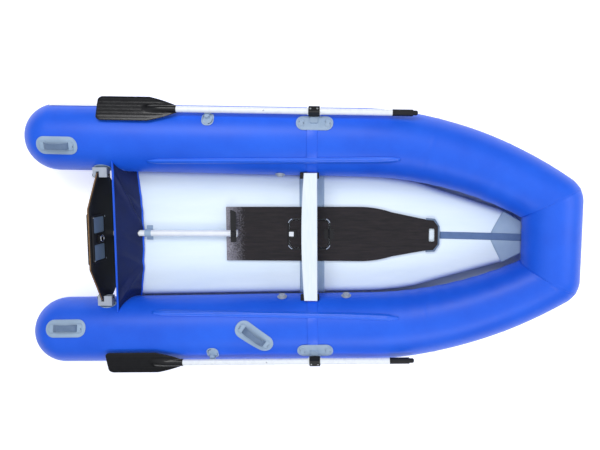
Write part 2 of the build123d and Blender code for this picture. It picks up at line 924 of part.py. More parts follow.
# ======================= stern curtain =======================
fall = Vector(curtain_foot_x - curtain_top_x, 0, curtain_foot_z - curtain_top_z)
curtain_drop = fall.length
curtain_plane = Plane(
    origin=(curtain_top_x, 0, curtain_top_z), x_dir=(0, 1, 0), z_dir=Vector(0, 1, 0).cross(-fall)
)
with BuildPart() as curtain:
    with BuildSketch(curtain_plane):
        with Locations((0, -curtain_drop / 2)):
            Rectangle(2 * curtain_half_width, curtain_drop)
    extrude(amount=curtain_thickness)
    with BuildSketch(Plane(origin=(0, pipe_y, pipe_z), z_dir=(-1, 0, 0))):
        Circle(pipe_diameter / 2 + 2)
    extrude(amount=2 * abs(curtain_top_x), mode=Mode.SUBTRACT)
    cut_tube_room(soft_gap)
finish(curtain, "stern_curtain")

# ======================= drain pipe and valve =======================
bore = pipe_diameter - 2 * pipe_wall
with BuildPart() as drain_pipe:
    with BuildSketch(Plane(origin=(pipe_aft_x, pipe_y, pipe_z), z_dir=(1, 0, 0))):
        Circle(pipe_diameter / 2)
        Circle(bore / 2, mode=Mode.SUBTRACT)
    extrude(amount=pipe_fwd_x - pipe_aft_x)
finish(drain_pipe, "drain_pipe")

with BuildPart() as pipe_strap:
    arch = pipe_diameter / 2 + glue_line
    drop = pipe_z - floor_top
    with BuildSketch(Plane(origin=(strap_x, pipe_y, pipe_z), x_dir=(0, 1, 0), z_dir=(1, 0, 0))):
        Circle(arch + strap_wall)
        with Locations((0, -drop / 2)):
            Rectangle(2 * (arch + strap_wall), drop)
        with Locations((0, -drop + strap_wall / 2)):
            Rectangle(strap_span, strap_wall)
        Circle(arch, mode=Mode.SUBTRACT)
        with Locations((0, -drop / 2)):
            Rectangle(2 * arch, drop, mode=Mode.SUBTRACT)
    extrude(amount=strap_length / 2, both=True)
finish(pipe_strap, "pipe_strap")

valve_top = lever_z - running_gap
with BuildPart() as valve_body:
    with BuildSketch(Plane.XY.offset(board_top)):
        with Locations((valve_x, pipe_y)):
            RectangleRounded(valve_body_length, valve_body_width, 6)
    extrude(amount=valve_top - board_top)
    collar_start = pipe_fwd_x + glue_line
    with BuildSketch(Plane(origin=(collar_start, pipe_y, pipe_z), z_dir=(1, 0, 0))):
        Circle(pipe_diameter / 2 + 1)
    extrude(amount=valve_x - collar_start)
    with BuildSketch(Plane(origin=(pipe_fwd_x, pipe_y, pipe_z), z_dir=(1, 0, 0))):
        Circle(bore / 2)
    extrude(amount=valve_x + valve_body_length - pipe_fwd_x, mode=Mode.SUBTRACT)
    with BuildSketch(Plane.XY.offset(pipe_z)):
        with Locations((valve_x, pipe_y)):
            Circle(stem_diameter / 2 + running_gap)
    extrude(amount=valve_top - pipe_z, mode=Mode.SUBTRACT)
    with Locations((valve_x, pipe_y, pipe_z)):
        Sphere(ball_diameter / 2 + running_gap, mode=Mode.SUBTRACT)
finish(valve_body, "valve_body")

with BuildPart() as valve_ball:
    with Locations((valve_x, pipe_y, pipe_z)):
        Sphere(ball_diameter / 2)
    with BuildSketch(Plane.XY.offset(pipe_z)):
        with Locations((valve_x, pipe_y)):
            Circle(stem_diameter / 2)
    extrude(amount=lever_z - pipe_z)
    with BuildSketch(Plane(origin=(valve_x, pipe_y, pipe_z), z_dir=(0, 1, 0))):
        Circle(ball_bore / 2)
    extrude(amount=ball_diameter, both=True, mode=Mode.SUBTRACT)
finish(valve_ball, "valve_ball")

with BuildPart() as valve_lever:
    with BuildSketch(Plane.XY.offset(lever_z)):
        with BuildLine():
            Polyline(
                (valve_x - lever_width / 2, pipe_y - lever_stub),
                (valve_x + lever_width / 2, pipe_y - lever_stub),
                (valve_x + lever_width / 2, pipe_y + lever_reach - lever_width / 2),
                (valve_x - lever_width / 2, pipe_y + lever_reach),
                close=True,
            )
        make_face()
        fillet(vertices(), 5)
    extrude(amount=lever_thickness)
    with BuildSketch(Plane.XY.offset(lever_z + lever_thickness)):
        with Locations((valve_x, pipe_y)):
            Circle(hub_diameter / 2)
    extrude(amount=hub_height - lever_thickness)
    chamfer(valve_lever.edges().group_by(Axis.Z)[-1], 2)
finish(valve_lever, "valve_lever")

# ======================= thwart =======================
with BuildPart() as thwart:
    with BuildSketch(Plane.XY.offset(thwart_top - thwart_thickness)):
        with BuildLine():
            front_x = thwart_x + thwart_mid_width / 2 - 1
            front = Line((front_x, -thwart_half_length), (front_x, thwart_half_length))
            back_end = front_x - thwart_end_width
            Line(front @ 1, (back_end, thwart_half_length))
            ThreePointArc(
                (back_end, thwart_half_length),
                (front_x - thwart_mid_width, 0),
                (back_end, -thwart_half_length),
            )
            Line((back_end, -thwart_half_length), front @ 0)
        make_face()
    extrude(amount=thwart_thickness)
    fillet(thwart.edges().group_by(Axis.Z)[-1], 4)
finish(thwart, "thwart")

mounts = []
for side, name in sides:
    with BuildPart() as mount:
        mount_z = thwart_top - thwart_thickness - mount_height
        with BuildSketch(Plane.XY.offset(mount_z)):
            with Locations((thwart_x, side * (thwart_half_length - mount_depth / 2 + mount_reach / 2))):
                RectangleRounded(mount_length, mount_depth + mount_reach, 5)
        extrude(amount=mount_height)
        cut_tube_room(glue_line + seam_band_thickness + glue_line)
    mounts.append(mount)
finish_group(mounts, "thwart_mounts")

# ======================= rails =======================
rails = []
for side, name in sides:
    low_aft = aft_tube(side, glue_line)
    low_fwd = fwd_tube(side, glue_line)
    high_aft = aft_tube(side, glue_line + rail_height)
    high_fwd = fwd_tube(side, glue_line + rail_height)
    with BuildPart() as rail_room:
        add(high_aft.part)
        add(high_fwd.part)
        add(low_aft.part, mode=Mode.SUBTRACT)
        add(low_fwd.part, mode=Mode.SUBTRACT)
    with BuildPart() as rail:
        with BuildSketch(Plane.XY.offset(tube_radius)):
            with Locations(((rail_aft_x + rail_fwd_x) / 2, side * rail_y)):
                RectangleRounded(rail_fwd_x - rail_aft_x, rail_width, rail_width / 3)
        extrude(amount=2 * tube_radius)
        add(rail_room.part, mode=Mode.INTERSECT)
        add(seam_bands.part, mode=Mode.SUBTRACT)
    rails.append(rail)
finish_group(rails, "seat_rails")

# ======================= rowlocks =======================
lean = radians(yaw_lean)


def rowlock_plane(side, height=0):
    """Plane square to the rowlock's turning axis, with its x axis along the stowed oar."""
    along = Vector(cos(radians(oar_toe)), -side * sin(radians(oar_toe)), 0)
    up = Vector(sin(lean) * sin(radians(oar_toe)), side * sin(lean) * cos(radians(oar_toe)), cos(lean))
    origin = Vector(rowlock_x, side * oar_axis_y, oar_axis_z) + up * height
    return Plane(origin=origin, x_dir=along, z_dir=up)


def oar_plane(side, at, tilt=0):
    """Plane square to the oar at a distance along it, turned about the oar by a tilt."""
    base = rowlock_plane(side)
    origin = base.origin + base.x_dir * at
    square = Plane(origin=origin, x_dir=(base.x_dir.Y, -base.x_dir.X, 0), z_dir=base.x_dir)
    return turned(square, tilt)


def straight_tube_cylinder(side, grow):
    """Long straight cylinder on a side tube's axis."""
    with BuildPart() as cylinder:
        with BuildSketch(section_plane(dome_x, side)):
            Circle(tube_radius + grow)
        extrude(amount=bend_start - dome_x)
    return cylinder


pad_outer_grow = glue_line + rowlock_pad_thickness
rowlock_pads = []
rowlock_bases = []
half_boss = collar_height / 2
for side, name in sides:
    pad_low = straight_tube_cylinder(side, glue_line)
    pad_high = straight_tube_cylinder(side, pad_outer_grow)
    with BuildPart() as rowlock_pad:
        with BuildSketch(skin_plane(rowlock_x, side, rowlock_angle, tube_radius / 2)):
            RectangleRounded(rowlock_pad_length, rowlock_pad_width, rowlock_pad_corner)
        extrude(amount=tube_radius)
        add(pad_high.part, mode=Mode.INTERSECT)
        add(pad_low.part, mode=Mode.SUBTRACT)
        add(seam_bands.part, mode=Mode.SUBTRACT)
    rowlock_pads.append(rowlock_pad)
    with BuildPart() as rowlock_base:
        base_top = -half_boss - turntable_gap
        with BuildSketch(rowlock_plane(side, base_top)):
            Circle(base_diameter / 2)
            with Locations((0, -side * tab_reach / 2)):
                RectangleRounded(tab_width, tab_reach, 8)
        extrude(amount=-2 * half_boss)
        add(pad_high.part, mode=Mode.SUBTRACT)
        with BuildSketch(rowlock_plane(side, base_top)):
            Circle(turntable_diameter / 2 + turntable_gap)
        extrude(amount=-turntable_depth, mode=Mode.SUBTRACT)
    rowlock_bases.append(rowlock_base)
    with BuildPart() as swivel:
        with BuildSketch(oar_plane(side, -collar_length / 2, -side * yaw_lean)):
            RectangleRounded(collar_width, collar_height, 8)
        extrude(amount=collar_length)
        with BuildSketch(rowlock_plane(side, -half_boss - turntable_depth)):
            Circle(turntable_diameter / 2)
        extrude(amount=turntable_depth + 2)
        with BuildSketch(oar_plane(side, -collar_length)):
            Circle(shaft_diameter / 2 + running_gap)
        extrude(amount=2 * collar_length, mode=Mode.SUBTRACT)
    finish(swivel, f"rowlock_swivel_{name}")
finish_group(rowlock_pads, "rowlock_pads")
finish_group(rowlock_bases, "rowlock_bases")

# ======================= oars =======================
for side, name in sides:
    stop_start = collar_length / 2 + turntable_gap
    with BuildPart() as shaft:
        with BuildSketch(oar_plane(side, ferrule_end - ferrule_depth)):
            Circle(shaft_diameter / 2)
        extrude(amount=grip_start - ferrule_end + ferrule_depth)
        for start in (stop_start, -stop_start - stop_length):
            with BuildSketch(oar_plane(side, start)):
                Circle(stop_diameter / 2)
            extrude(amount=stop_length)
        with BuildSketch(oar_plane(side, ferrule_end - ferrule_depth)):
            Circle(shaft_diameter / 2 - shaft_wall)
        extrude(amount=grip_start - ferrule_end + ferrule_depth, mode=Mode.SUBTRACT)
        with BuildSketch(snap_plane := Plane(
            origin=oar_plane(side, snap_button_at).origin, x_dir=oar_plane(side, 0).z_dir, z_dir=(0, 0, 1)
        )):
            Circle(snap_button_diameter / 2 + running_gap)
        extrude(amount=shaft_diameter, mode=Mode.SUBTRACT)
    finish(shaft, f"oar_shaft_{name}")
    with BuildPart() as snap_button:
        top = shaft_diameter / 2 + snap_button_rise
        with BuildSketch(snap_plane.offset(top - snap_button_length)):
            Circle(snap_button_diameter / 2)
        extrude(amount=snap_button_length)
        fillet(snap_button.edges().group_by(Axis.Z)[-1], 2)
    finish(snap_button, f"oar_snap_button_{name}")
    with BuildPart() as blade:
        root = oar_plane(side, 0, -side * blade_tilt)
        blade_plane = Plane(origin=root.origin, x_dir=root.z_dir, z_dir=root.y_dir)
        with BuildSketch(blade_plane):
            with BuildLine():
                Polyline(
                    (blade_end, -blade_width / 2),
                    (blade_end, blade_width / 2),
                    (blade_start, blade_width / 2),
                    (blade_start + blade_neck, ferrule_diameter / 2 - 2),
                    (blade_start + blade_neck, -ferrule_diameter / 2 + 2),
                    (blade_start, -blade_width / 2),
                    close=True,
                )
            make_face()
            fillet(vertices(), blade_corner / 2)
        extrude(amount=blade_thickness / 2, both=True)
        with BuildSketch(oar_plane(side, blade_start)):
            Circle(ferrule_diameter / 2)
        extrude(amount=ferrule_end - blade_start)
        with BuildSketch(oar_plane(side, ferrule_end - ferrule_depth)):
            Circle(shaft_diameter / 2 + glue_line)
        extrude(amount=ferrule_depth + 1, mode=Mode.SUBTRACT)
    finish(blade, f"oar_blade_{name}")
    with BuildPart() as grip:
        with BuildSketch(oar_plane(side, grip_start + glue_line)):
            Circle(grip_diameter / 2)
        extrude(amount=grip_end - grip_start - glue_line)
        with BuildSketch(oar_plane(side, grip_start - plug_length)):
            Circle(shaft_diameter / 2 - shaft_wall - glue_line)
        extrude(amount=plug_length + 1)
        with BuildSketch(oar_plane(side, grip_end)):
            Circle(tip_diameter / 2)
        extrude(amount=oar_tip - grip_end)
        fillet(grip.edges().sort_by(Axis.X)[-1], tip_diameter / 3)
    finish(grip, f"oar_grip_{name}")

# ======================= oar keepers =======================
keeper_patches = []
keepers = []
for side, name in sides:
    keeper_at = (keeper_x - rowlock_x) / cos(radians(oar_toe))
    keeper_origin = oar_plane(side, keeper_at).origin
    keeper_low = aft_tube(side, glue_line)
    keeper_high = aft_tube(side, glue_line + patch_thickness)
    flat = rowlock_plane(side)
    rest_origin = keeper_origin - flat.z_dir * (shaft_diameter / 2 + running_gap)
    rest_plane = Plane(origin=rest_origin, x_dir=flat.x_dir, z_dir=flat.z_dir)
    with BuildPart() as keeper_patch:
        with BuildSketch(rest_plane):
            with Locations((0, -side * keeper_patch_width / 4)):
                RectangleRounded(keeper_patch_length, keeper_patch_width, 20)
        extrude(amount=-tube_radius / 2)
        add(keeper_high.part, mode=Mode.INTERSECT)
        add(keeper_low.part, mode=Mode.SUBTRACT)
    keeper_patches.append(keeper_patch)
    with BuildPart() as keeper:
        with BuildSketch(rest_plane):
            RectangleRounded(keeper_block_length, keeper_block_width, 5)
        extrude(amount=-tube_radius / 3)
        with BuildSketch(rest_plane):
            with Locations((0, -side * (keeper_block_width / 2 + stud_diameter / 2 - 4))):
                Circle(stud_diameter / 2)
        extrude(amount=-tube_radius / 3)
        add(keeper_high.part, mode=Mode.SUBTRACT)
    keepers.append(keeper)
finish_group(keeper_patches, "keeper_patches")
finish_group(keepers, "oar_keepers")

# ======================= air valves =======================
valve_bodies = []
for name, side, x in air_valves:
    skin = aft_tube(side, glue_line) if x < bulkhead_x else fwd_tube(side, glue_line)
    flange_top = tube_radius + glue_line + valve_flange_thickness
    with BuildPart() as air_valve:
        with BuildSketch(skin_plane(x, side, air_valve_angle, tube_radius * 0.9)):
            Circle(valve_flange_diameter / 2)
        extrude(amount=flange_top - tube_radius * 0.9)
        with BuildSketch(skin_plane(x, side, air_valve_angle, flange_top)):
            Circle(valve_neck_diameter / 2)
            Circle(cap_diameter / 2 - 3 + running_gap, mode=Mode.SUBTRACT)
        extrude(amount=valve_neck_height)
        add(skin.part, mode=Mode.SUBTRACT)
    valve_bodies.append(air_valve)
    with BuildPart() as cap:
        with BuildSketch(skin_plane(x, side, air_valve_angle, flange_top + running_gap)):
            Circle(cap_diameter / 2 - 3)
        extrude(amount=valve_neck_height)
        cap_base = flange_top + valve_neck_height + running_gap
        with BuildSketch(skin_plane(x, side, air_valve_angle, cap_base)):
            Circle(cap_diameter / 2)
            with PolarLocations(cap_diameter / 2, 6):
                Circle(2.5, mode=Mode.SUBTRACT)
        extrude(amount=cap_height - running_gap)
    finish(cap, f"air_valve_cap_{name}")
finish_group(valve_bodies, "air_valves")
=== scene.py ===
import json
from math import asin, cos, pi, radians, sin, sqrt, tan

import bmesh
import bpy
from mathutils import Matrix, Vector, noise


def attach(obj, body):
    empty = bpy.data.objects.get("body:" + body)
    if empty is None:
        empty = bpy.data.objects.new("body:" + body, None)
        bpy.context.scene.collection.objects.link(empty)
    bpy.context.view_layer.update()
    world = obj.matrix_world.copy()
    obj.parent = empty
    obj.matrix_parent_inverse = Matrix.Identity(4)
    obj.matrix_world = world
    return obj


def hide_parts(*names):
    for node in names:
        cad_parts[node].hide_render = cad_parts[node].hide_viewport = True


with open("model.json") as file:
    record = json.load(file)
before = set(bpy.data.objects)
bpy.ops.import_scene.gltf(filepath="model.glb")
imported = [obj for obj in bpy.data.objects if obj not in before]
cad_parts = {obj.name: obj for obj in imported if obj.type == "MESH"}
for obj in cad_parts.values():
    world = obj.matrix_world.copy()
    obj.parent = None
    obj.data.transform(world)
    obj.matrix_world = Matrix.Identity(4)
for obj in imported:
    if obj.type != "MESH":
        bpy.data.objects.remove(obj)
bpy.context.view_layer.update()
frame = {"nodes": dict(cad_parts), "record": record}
NODES = frame["nodes"]

# ---- the hull's own shape, in metres ----
R = 0.200
R_BOW = 0.158
HALF_BEAM = 0.558
TOE = radians(1.5)
BEND_X = 0.402
BEND_R = 1.980
SHEER_X = 0.225
SHEER_R = 4.480
BULKHEAD_X = 0.125
DOME_X = -1.408
BOW_X = 1.450
FLOOR_TOP = 0.128
FLOOR_LOW = 0.038
FLOOR_AFT = -1.085
FLOOR_NOSE = 1.322
UP = Vector((0, 0, 1))
BEND_CX = BEND_X - BEND_R * sin(TOE)
BEND_CY = HALF_BEAM - tan(TOE) * BEND_X - BEND_R * cos(TOE)
SIDES = ((1, "port"), (-1, "starboard"))
SKIN_SINK = 0.0016  # the skins lie this far inside the frame's solids, so creases stay within them

# ---- where the fittings are, in metres ----
RAKE = radians(6)
TRANSOM_X, TRANSOM_Z = -1.131, 0.300
TRANSOM_THICK = 0.018
PIPE_Y, PIPE_Z = 0.005, 0.162
PIPE_HOLE = 0.021
OAR_X, OAR_Y, OAR_Z = 0.136, 0.718, 0.374
OAR_TOE = radians(1.5)
BLADE_TILT = radians(20)
ROWLOCK_LEAN = radians(35)
HATCH_X = 0.093
HATCH_LENGTH, HATCH_WIDTH = 0.237, 0.169


def axis_y(x):
    if x <= BEND_X:
        return HALF_BEAM - tan(TOE) * x
    return BEND_CY + sqrt(BEND_R**2 - (x - BEND_CX) ** 2)


def sheer(x, level=R):
    if x <= SHEER_X:
        return level
    r = R + SHEER_R - level
    return R + SHEER_R - sqrt(r * r - (x - SHEER_X) ** 2)


def radius_at(x):
    if x <= BEND_X:
        return R
    return R - (R - R_BOW) * min(1, (x - BEND_X) / (BOW_X - BEND_X)) ** 1.5


def heading(x, side):
    turn = TOE if x <= BEND_X else asin((x - BEND_CX) / BEND_R)
    climb = asin((x - SHEER_X) / SHEER_R) if x > SHEER_X else 0
    return Vector((cos(turn), -side * sin(turn), tan(climb) * cos(turn))).normalized()


def ring_frame(x, side):
    """Centre, outboard and upward directions of a side tube at x."""
    t = heading(x, side)
    out = Vector((side * -t.y, side * t.x, 0)).normalized()
    up = t.cross(out) * side
    return Vector((x, side * axis_y(x), sheer(x))), out, up, t


def on_tube(x, side, angle, height=0.0):
    """Point on a side tube, angle radians outboard of its top, height above its skin."""
    c, out, up, t = ring_frame(x, side)
    if x < DOME_X:
        c = Vector((DOME_X, side * axis_y(DOME_X), R))
        back = (DOME_X - x) / cos(TOE)
        r = sqrt(max(0, (R + height) ** 2 - back**2))
        return c - t * back + (out * sin(angle) + up * cos(angle)) * r
    return c + (out * sin(angle) + up * cos(angle)) * (radius_at(x) + height)


# ---- finishes ----
def finish_node(name, color, rough, second=None, blotch=4.0, grain=220.0, bump=0.15, metal=0.0,
                streak=None, weave=0.0, contrast=0.5, gloss=0.5):
    m = bpy.data.materials.new(name)
    m.use_nodes = True
    nt = m.node_tree
    p = nt.nodes["Principled BSDF"]
    tc = nt.nodes.new("ShaderNodeTexCoord")
    mp = nt.nodes.new("ShaderNodeMapping")
    nt.links.new(tc.outputs["Object"], mp.inputs["Vector"])
    if streak:
        mp.inputs["Scale"].default_value = streak
    big = nt.nodes.new("ShaderNodeTexNoise")
    big.inputs["Scale"].default_value = blotch
    big.inputs["Detail"].default_value = 6
    big.inputs["Roughness"].default_value = 0.6
    nt.links.new(mp.outputs["Vector"], big.inputs["Vector"])
    ramp = nt.nodes.new("ShaderNodeValToRGB")
    ramp.color_ramp.elements[0].position = 0.5 - contrast / 2
    ramp.color_ramp.elements[1].position = 0.5 + contrast / 2
    ramp.color_ramp.elements[0].color = (*color, 1)
    ramp.color_ramp.elements[1].color = (*(second or [c * 1.12 for c in color]), 1)
    nt.links.new(big.outputs["Fac"], ramp.inputs["Fac"])
    nt.links.new(ramp.outputs["Color"], p.inputs["Base Color"])
    rr = nt.nodes.new("ShaderNodeMapRange")
    rr.inputs["To Min"].default_value = max(0.02, rough - 0.08)
    rr.inputs["To Max"].default_value = min(1, rough + 0.08)
    nt.links.new(big.outputs["Fac"], rr.inputs["Value"])
    nt.links.new(rr.outputs["Result"], p.inputs["Roughness"])
    p.inputs["Metallic"].default_value = metal
    p.inputs["Specular IOR Level"].default_value = gloss
    fine = nt.nodes.new("ShaderNodeTexNoise")
    fine.inputs["Scale"].default_value = grain
    fine.inputs["Detail"].default_value = 4
    nt.links.new(mp.outputs["Vector"], fine.inputs["Vector"])
    height = fine.outputs["Fac"]
    if weave:
        w1 = nt.nodes.new("ShaderNodeTexWave")
        w2 = nt.nodes.new("ShaderNodeTexWave")
        w1.bands_direction = "X"
        w2.bands_direction = "Y"
        for w in (w1, w2):
            w.inputs["Scale"].default_value = weave
            w.inputs["Distortion"].default_value = 0.6
            nt.links.new(tc.outputs["Object"], w.inputs["Vector"])
        mul = nt.nodes.new("ShaderNodeMath")
        mul.operation = "MULTIPLY"
        nt.links.new(w1.outputs["Fac"], mul.inputs[0])
        nt.links.new(w2.outputs["Fac"], mul.inputs[1])
        addn = nt.nodes.new("ShaderNodeMath")
        addn.operation = "ADD"
        nt.links.new(mul.outputs[0], addn.inputs[0])
        nt.links.new(height, addn.inputs[1])
        height = addn.outputs[0]
    b = nt.nodes.new("ShaderNodeBump")
    b.inputs["Strength"].default_value = bump
    b.inputs["Distance"].default_value = 0.0015
    nt.links.new(height, b.inputs["Height"])
    nt.links.new(b.outputs["Normal"], p.inputs["Normal"])
    return m


MAT = {
    "tube_blue": finish_node("pvc_blue", (0.006, 0.085, 0.66), 0.42, (0.010, 0.120, 0.80), 3, 420, 0.12,
                             gloss=0.35),
    "seam_blue": finish_node("pvc_seam", (0.008, 0.100, 0.72), 0.36, None, 6, 420, 0.15, gloss=0.4),
    "fabric_grey": finish_node("pvc_grey", (0.27, 0.38, 0.53), 0.45, (0.33, 0.44, 0.58), 14, 300, 0.2,
                               weave=160),
    "floor_pale": finish_node("floor_pale", (0.70, 0.82, 0.93), 0.5, (0.80, 0.89, 0.96), 2.2, 300, 0.22,
                              streak=(0.5, 3.0, 1), weave=60),
    "bottom_grey": finish_node("bottom_grey", (0.44, 0.52, 0.62), 0.55, None, 6, 260, 0.3, weave=90),
    "webbing_blue": finish_node("webbing_blue", (0.09, 0.16, 0.32), 0.6, (0.12, 0.2, 0.38), 30, 400, 0.5,
                                weave=220),
    "webbing_navy": finish_node("webbing_navy", (0.10, 0.16, 0.27), 0.5, (0.15, 0.22, 0.35), 30, 400, 0.4,
                                weave=220),
    "curtain_blue": finish_node("curtain_blue", (0.003, 0.009, 0.060), 0.55, (0.004, 0.014, 0.095), 5, 400,
                                0.3, weave=150, gloss=0.3),
    "rail_blue": finish_node("rail_blue", (0.009, 0.110, 0.72), 0.32, None, 8, 300, 0.15, gloss=0.5),
    "rubber_slate": finish_node("rubber_slate", (0.10, 0.15, 0.23), 0.5, None, 20, 300, 0.25),
    "rubber_black": finish_node("rubber_black", (0.006, 0.006, 0.008), 0.45, (0.012, 0.012, 0.015), 20, 260,
                                0.3, gloss=0.25),
    "rubber_grey": finish_node("rubber_grey", (0.26, 0.36, 0.50), 0.5, (0.34, 0.44, 0.58), 18, 260, 0.3),
    "board_black": finish_node("board_black", (0.005, 0.004, 0.006), 0.42, (0.017, 0.012, 0.014), 9, 60, 0.5,
                               gloss=0.28, streak=(1.0, 9.0, 9.0), contrast=0.35),
    "ply_black": finish_node("ply_black", (0.004, 0.004, 0.006), 0.35, (0.009, 0.009, 0.012), 9, 120, 0.2,
                             gloss=0.25),
    "thwart_wood": finish_node("thwart_wood", (0.70, 0.78, 0.85), 0.5, (0.76, 0.82, 0.87), 10, 90, 0.25,
                               streak=(9.0, 1.0, 1.0), contrast=0.3),
    "plastic_black": finish_node("plastic_black", (0.005, 0.005, 0.006), 0.34, (0.010, 0.010, 0.012), 30, 300,
                                 0.2, gloss=0.35),
    "plastic_white": finish_node("plastic_white", (0.72, 0.76, 0.80), 0.4, (0.82, 0.84, 0.87), 25, 200, 0.12),
    "plastic_grey": finish_node("plastic_grey", (0.30, 0.34, 0.41), 0.45, (0.38, 0.42, 0.50), 25, 240, 0.2),
    "plastic_lime": finish_node("plastic_lime", (0.40, 0.62, 0.05), 0.3, (0.46, 0.68, 0.08), 40, 240, 0.1),
    "steel": finish_node("steel", (0.62, 0.64, 0.66), 0.25, (0.7, 0.72, 0.74), 60, 500, 0.1, metal=1.0),
    "label_white": finish_node("label_white", (0.78, 0.80, 0.84), 0.5, None, 20, 300, 0.1),
    "shaft_white": finish_node("shaft_white", (0.74, 0.77, 0.82), 0.28, (0.78, 0.81, 0.86), 30, 300, 0.05),
    "blade_black": finish_node("blade_black", (0.003, 0.003, 0.004), 0.22, (0.007, 0.007, 0.009), 25, 240,
                               0.12, gloss=0.3),
}


def edge_grain(m):
    """One thin brown ply line along the transom board's edges; its faces stay black."""
    nt = m.node_tree
    p = nt.nodes["Principled BSDF"]
    face = p.inputs["Base Color"].links[0].from_socket
    tc = nt.nodes.new("ShaderNodeTexCoord")
    dot = nt.nodes.new("ShaderNodeVectorMath")
    dot.operation = "DOT_PRODUCT"
    dot.inputs[1].default_value = (cos(RAKE), 0, sin(RAKE))
    nt.links.new(tc.outputs["Normal"], dot.inputs[0])
    size = nt.nodes.new("ShaderNodeMath")
    size.operation = "ABSOLUTE"
    nt.links.new(dot.outputs["Value"], size.inputs[0])
    less = nt.nodes.new("ShaderNodeMath")
    less.operation = "LESS_THAN"
    less.inputs[1].default_value = 0.5
    nt.links.new(size.outputs[0], less.inputs[0])
    deep = nt.nodes.new("ShaderNodeVectorMath")
    deep.operation = "DOT_PRODUCT"
    deep.inputs[1].default_value = (cos(RAKE), 0, sin(RAKE))
    nt.links.new(tc.outputs["Object"], deep.inputs[0])
    line = nt.nodes.new("ShaderNodeMath")
    line.operation = "COMPARE"
    line.inputs[1].default_value = TRANSOM_X * cos(RAKE) + TRANSOM_Z * sin(RAKE) - 0.004
    line.inputs[2].default_value = 0.0035
    nt.links.new(deep.outputs["Value"], line.inputs[0])
    both = nt.nodes.new("ShaderNodeMath")
    both.operation = "MULTIPLY"
    nt.links.new(line.outputs[0], both.inputs[0])
    nt.links.new(less.outputs[0], both.inputs[1])
    lay = nt.nodes.new("ShaderNodeTexNoise")
    lay.inputs["Scale"].default_value = 90
    nt.links.new(tc.outputs["Object"], lay.inputs["Vector"])
    ramp = nt.nodes.new("ShaderNodeValToRGB")
    ramp.color_ramp.elements[0].color = (0.10, 0.045, 0.018, 1)
    ramp.color_ramp.elements[1].color = (0.32, 0.19, 0.09, 1)
    nt.links.new(lay.outputs["Fac"], ramp.inputs["Fac"])
    mix = nt.nodes.new("ShaderNodeMix")
    mix.data_type = "RGBA"
    nt.links.new(both.outputs[0], mix.inputs["Factor"])
    nt.links.new(face, mix.inputs["A"])
    nt.links.new(ramp.outputs["Color"], mix.inputs["B"])
    nt.links.new(mix.outputs["Result"], p.inputs["Base Color"])


edge_grain(MAT["ply_black"])


def worn_end(m):
    """Pale specks where the board's grip surface is worn, only near its aft end."""
    nt = m.node_tree
    p = nt.nodes["Principled BSDF"]
    base = p.inputs["Base Color"].links[0].from_socket
    tc = nt.nodes.new("ShaderNodeTexCoord")
    xyz = nt.nodes.new("ShaderNodeSeparateXYZ")
    nt.links.new(tc.outputs["Object"], xyz.inputs[0])
    near = nt.nodes.new("ShaderNodeMapRange")
    near.inputs["From Min"].default_value = -0.18
    near.inputs["From Max"].default_value = -0.415
    near.inputs["To Min"].default_value = 0.0
    near.inputs["To Max"].default_value = 0.62
    nt.links.new(xyz.outputs["X"], near.inputs["Value"])
    dots = nt.nodes.new("ShaderNodeTexNoise")
    dots.inputs["Scale"].default_value = 130
    dots.inputs["Detail"].default_value = 8
    dots.inputs["Roughness"].default_value = 0.8
    nt.links.new(tc.outputs["Object"], dots.inputs["Vector"])
    both = nt.nodes.new("ShaderNodeMath")
    both.operation = "MULTIPLY"
    nt.links.new(near.outputs["Result"], both.inputs[0])
    nt.links.new(dots.outputs["Fac"], both.inputs[1])
    sharp = nt.nodes.new("ShaderNodeMapRange")
    sharp.inputs["From Min"].default_value = 0.17
    sharp.inputs["From Max"].default_value = 0.32
    nt.links.new(both.outputs[0], sharp.inputs["Value"])
    mix = nt.nodes.new("ShaderNodeMix")
    mix.data_type = "RGBA"
    nt.links.new(sharp.outputs["Result"], mix.inputs["Factor"])
    nt.links.new(base, mix.inputs["A"])
    mix.inputs["B"].default_value = (0.26, 0.25, 0.29, 1)
    nt.links.new(mix.outputs["Result"], p.inputs["Base Color"])


worn_end(MAT["board_black"])
SLOT = {s["node"]: s["material_slot"] for s in frame["record"]["subparts"]}
for node, obj in NODES.items():
    obj.data.materials.clear()
    obj.data.materials.append(MAT[SLOT[node]])


# ---- mesh helpers ----
def piece(name, verts, faces, slot, body, stands_for=()):
    me = bpy.data.meshes.new(name)
    me.from_pydata([tuple(v) for v in verts], [], faces)
    bm = bmesh.new()
    bm.from_mesh(me)
    bmesh.ops.remove_doubles(bm, verts=bm.verts, dist=0.00005)
    bmesh.ops.dissolve_degenerate(bm, edges=bm.edges, dist=0.00002)
    bmesh.ops.recalc_face_normals(bm, faces=bm.faces)
    bm.to_mesh(me)
    bm.free()
    obj = bpy.data.objects.new(name, me)
    bpy.context.scene.collection.objects.link(obj)
    me.materials.append(MAT[slot])
    for f in me.polygons:
        f.use_smooth = True
    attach(obj, body)
    if stands_for:
        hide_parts(*stands_for)
    return obj


def grid_faces(rows, cols, closed):
    faces = []
    for i in range(rows - 1):
        for j in range(cols if closed else cols - 1):
            k = (j + 1) % cols
            faces.append((i * cols + j, i * cols + k, (i + 1) * cols + k, (i + 1) * cols + j))
    return faces


def loft_rows(name, rows, slot, body, stands_for=(), caps=True):
    cols = len(rows[0])
    verts = [p for row in rows for p in row]
    faces = grid_faces(len(rows), cols, True)
    if caps:
        faces.append(tuple(range(cols)))
        faces.append(tuple((len(rows) - 1) * cols + j for j in range(cols)))
    return piece(name, verts, faces, slot, body, stands_for)


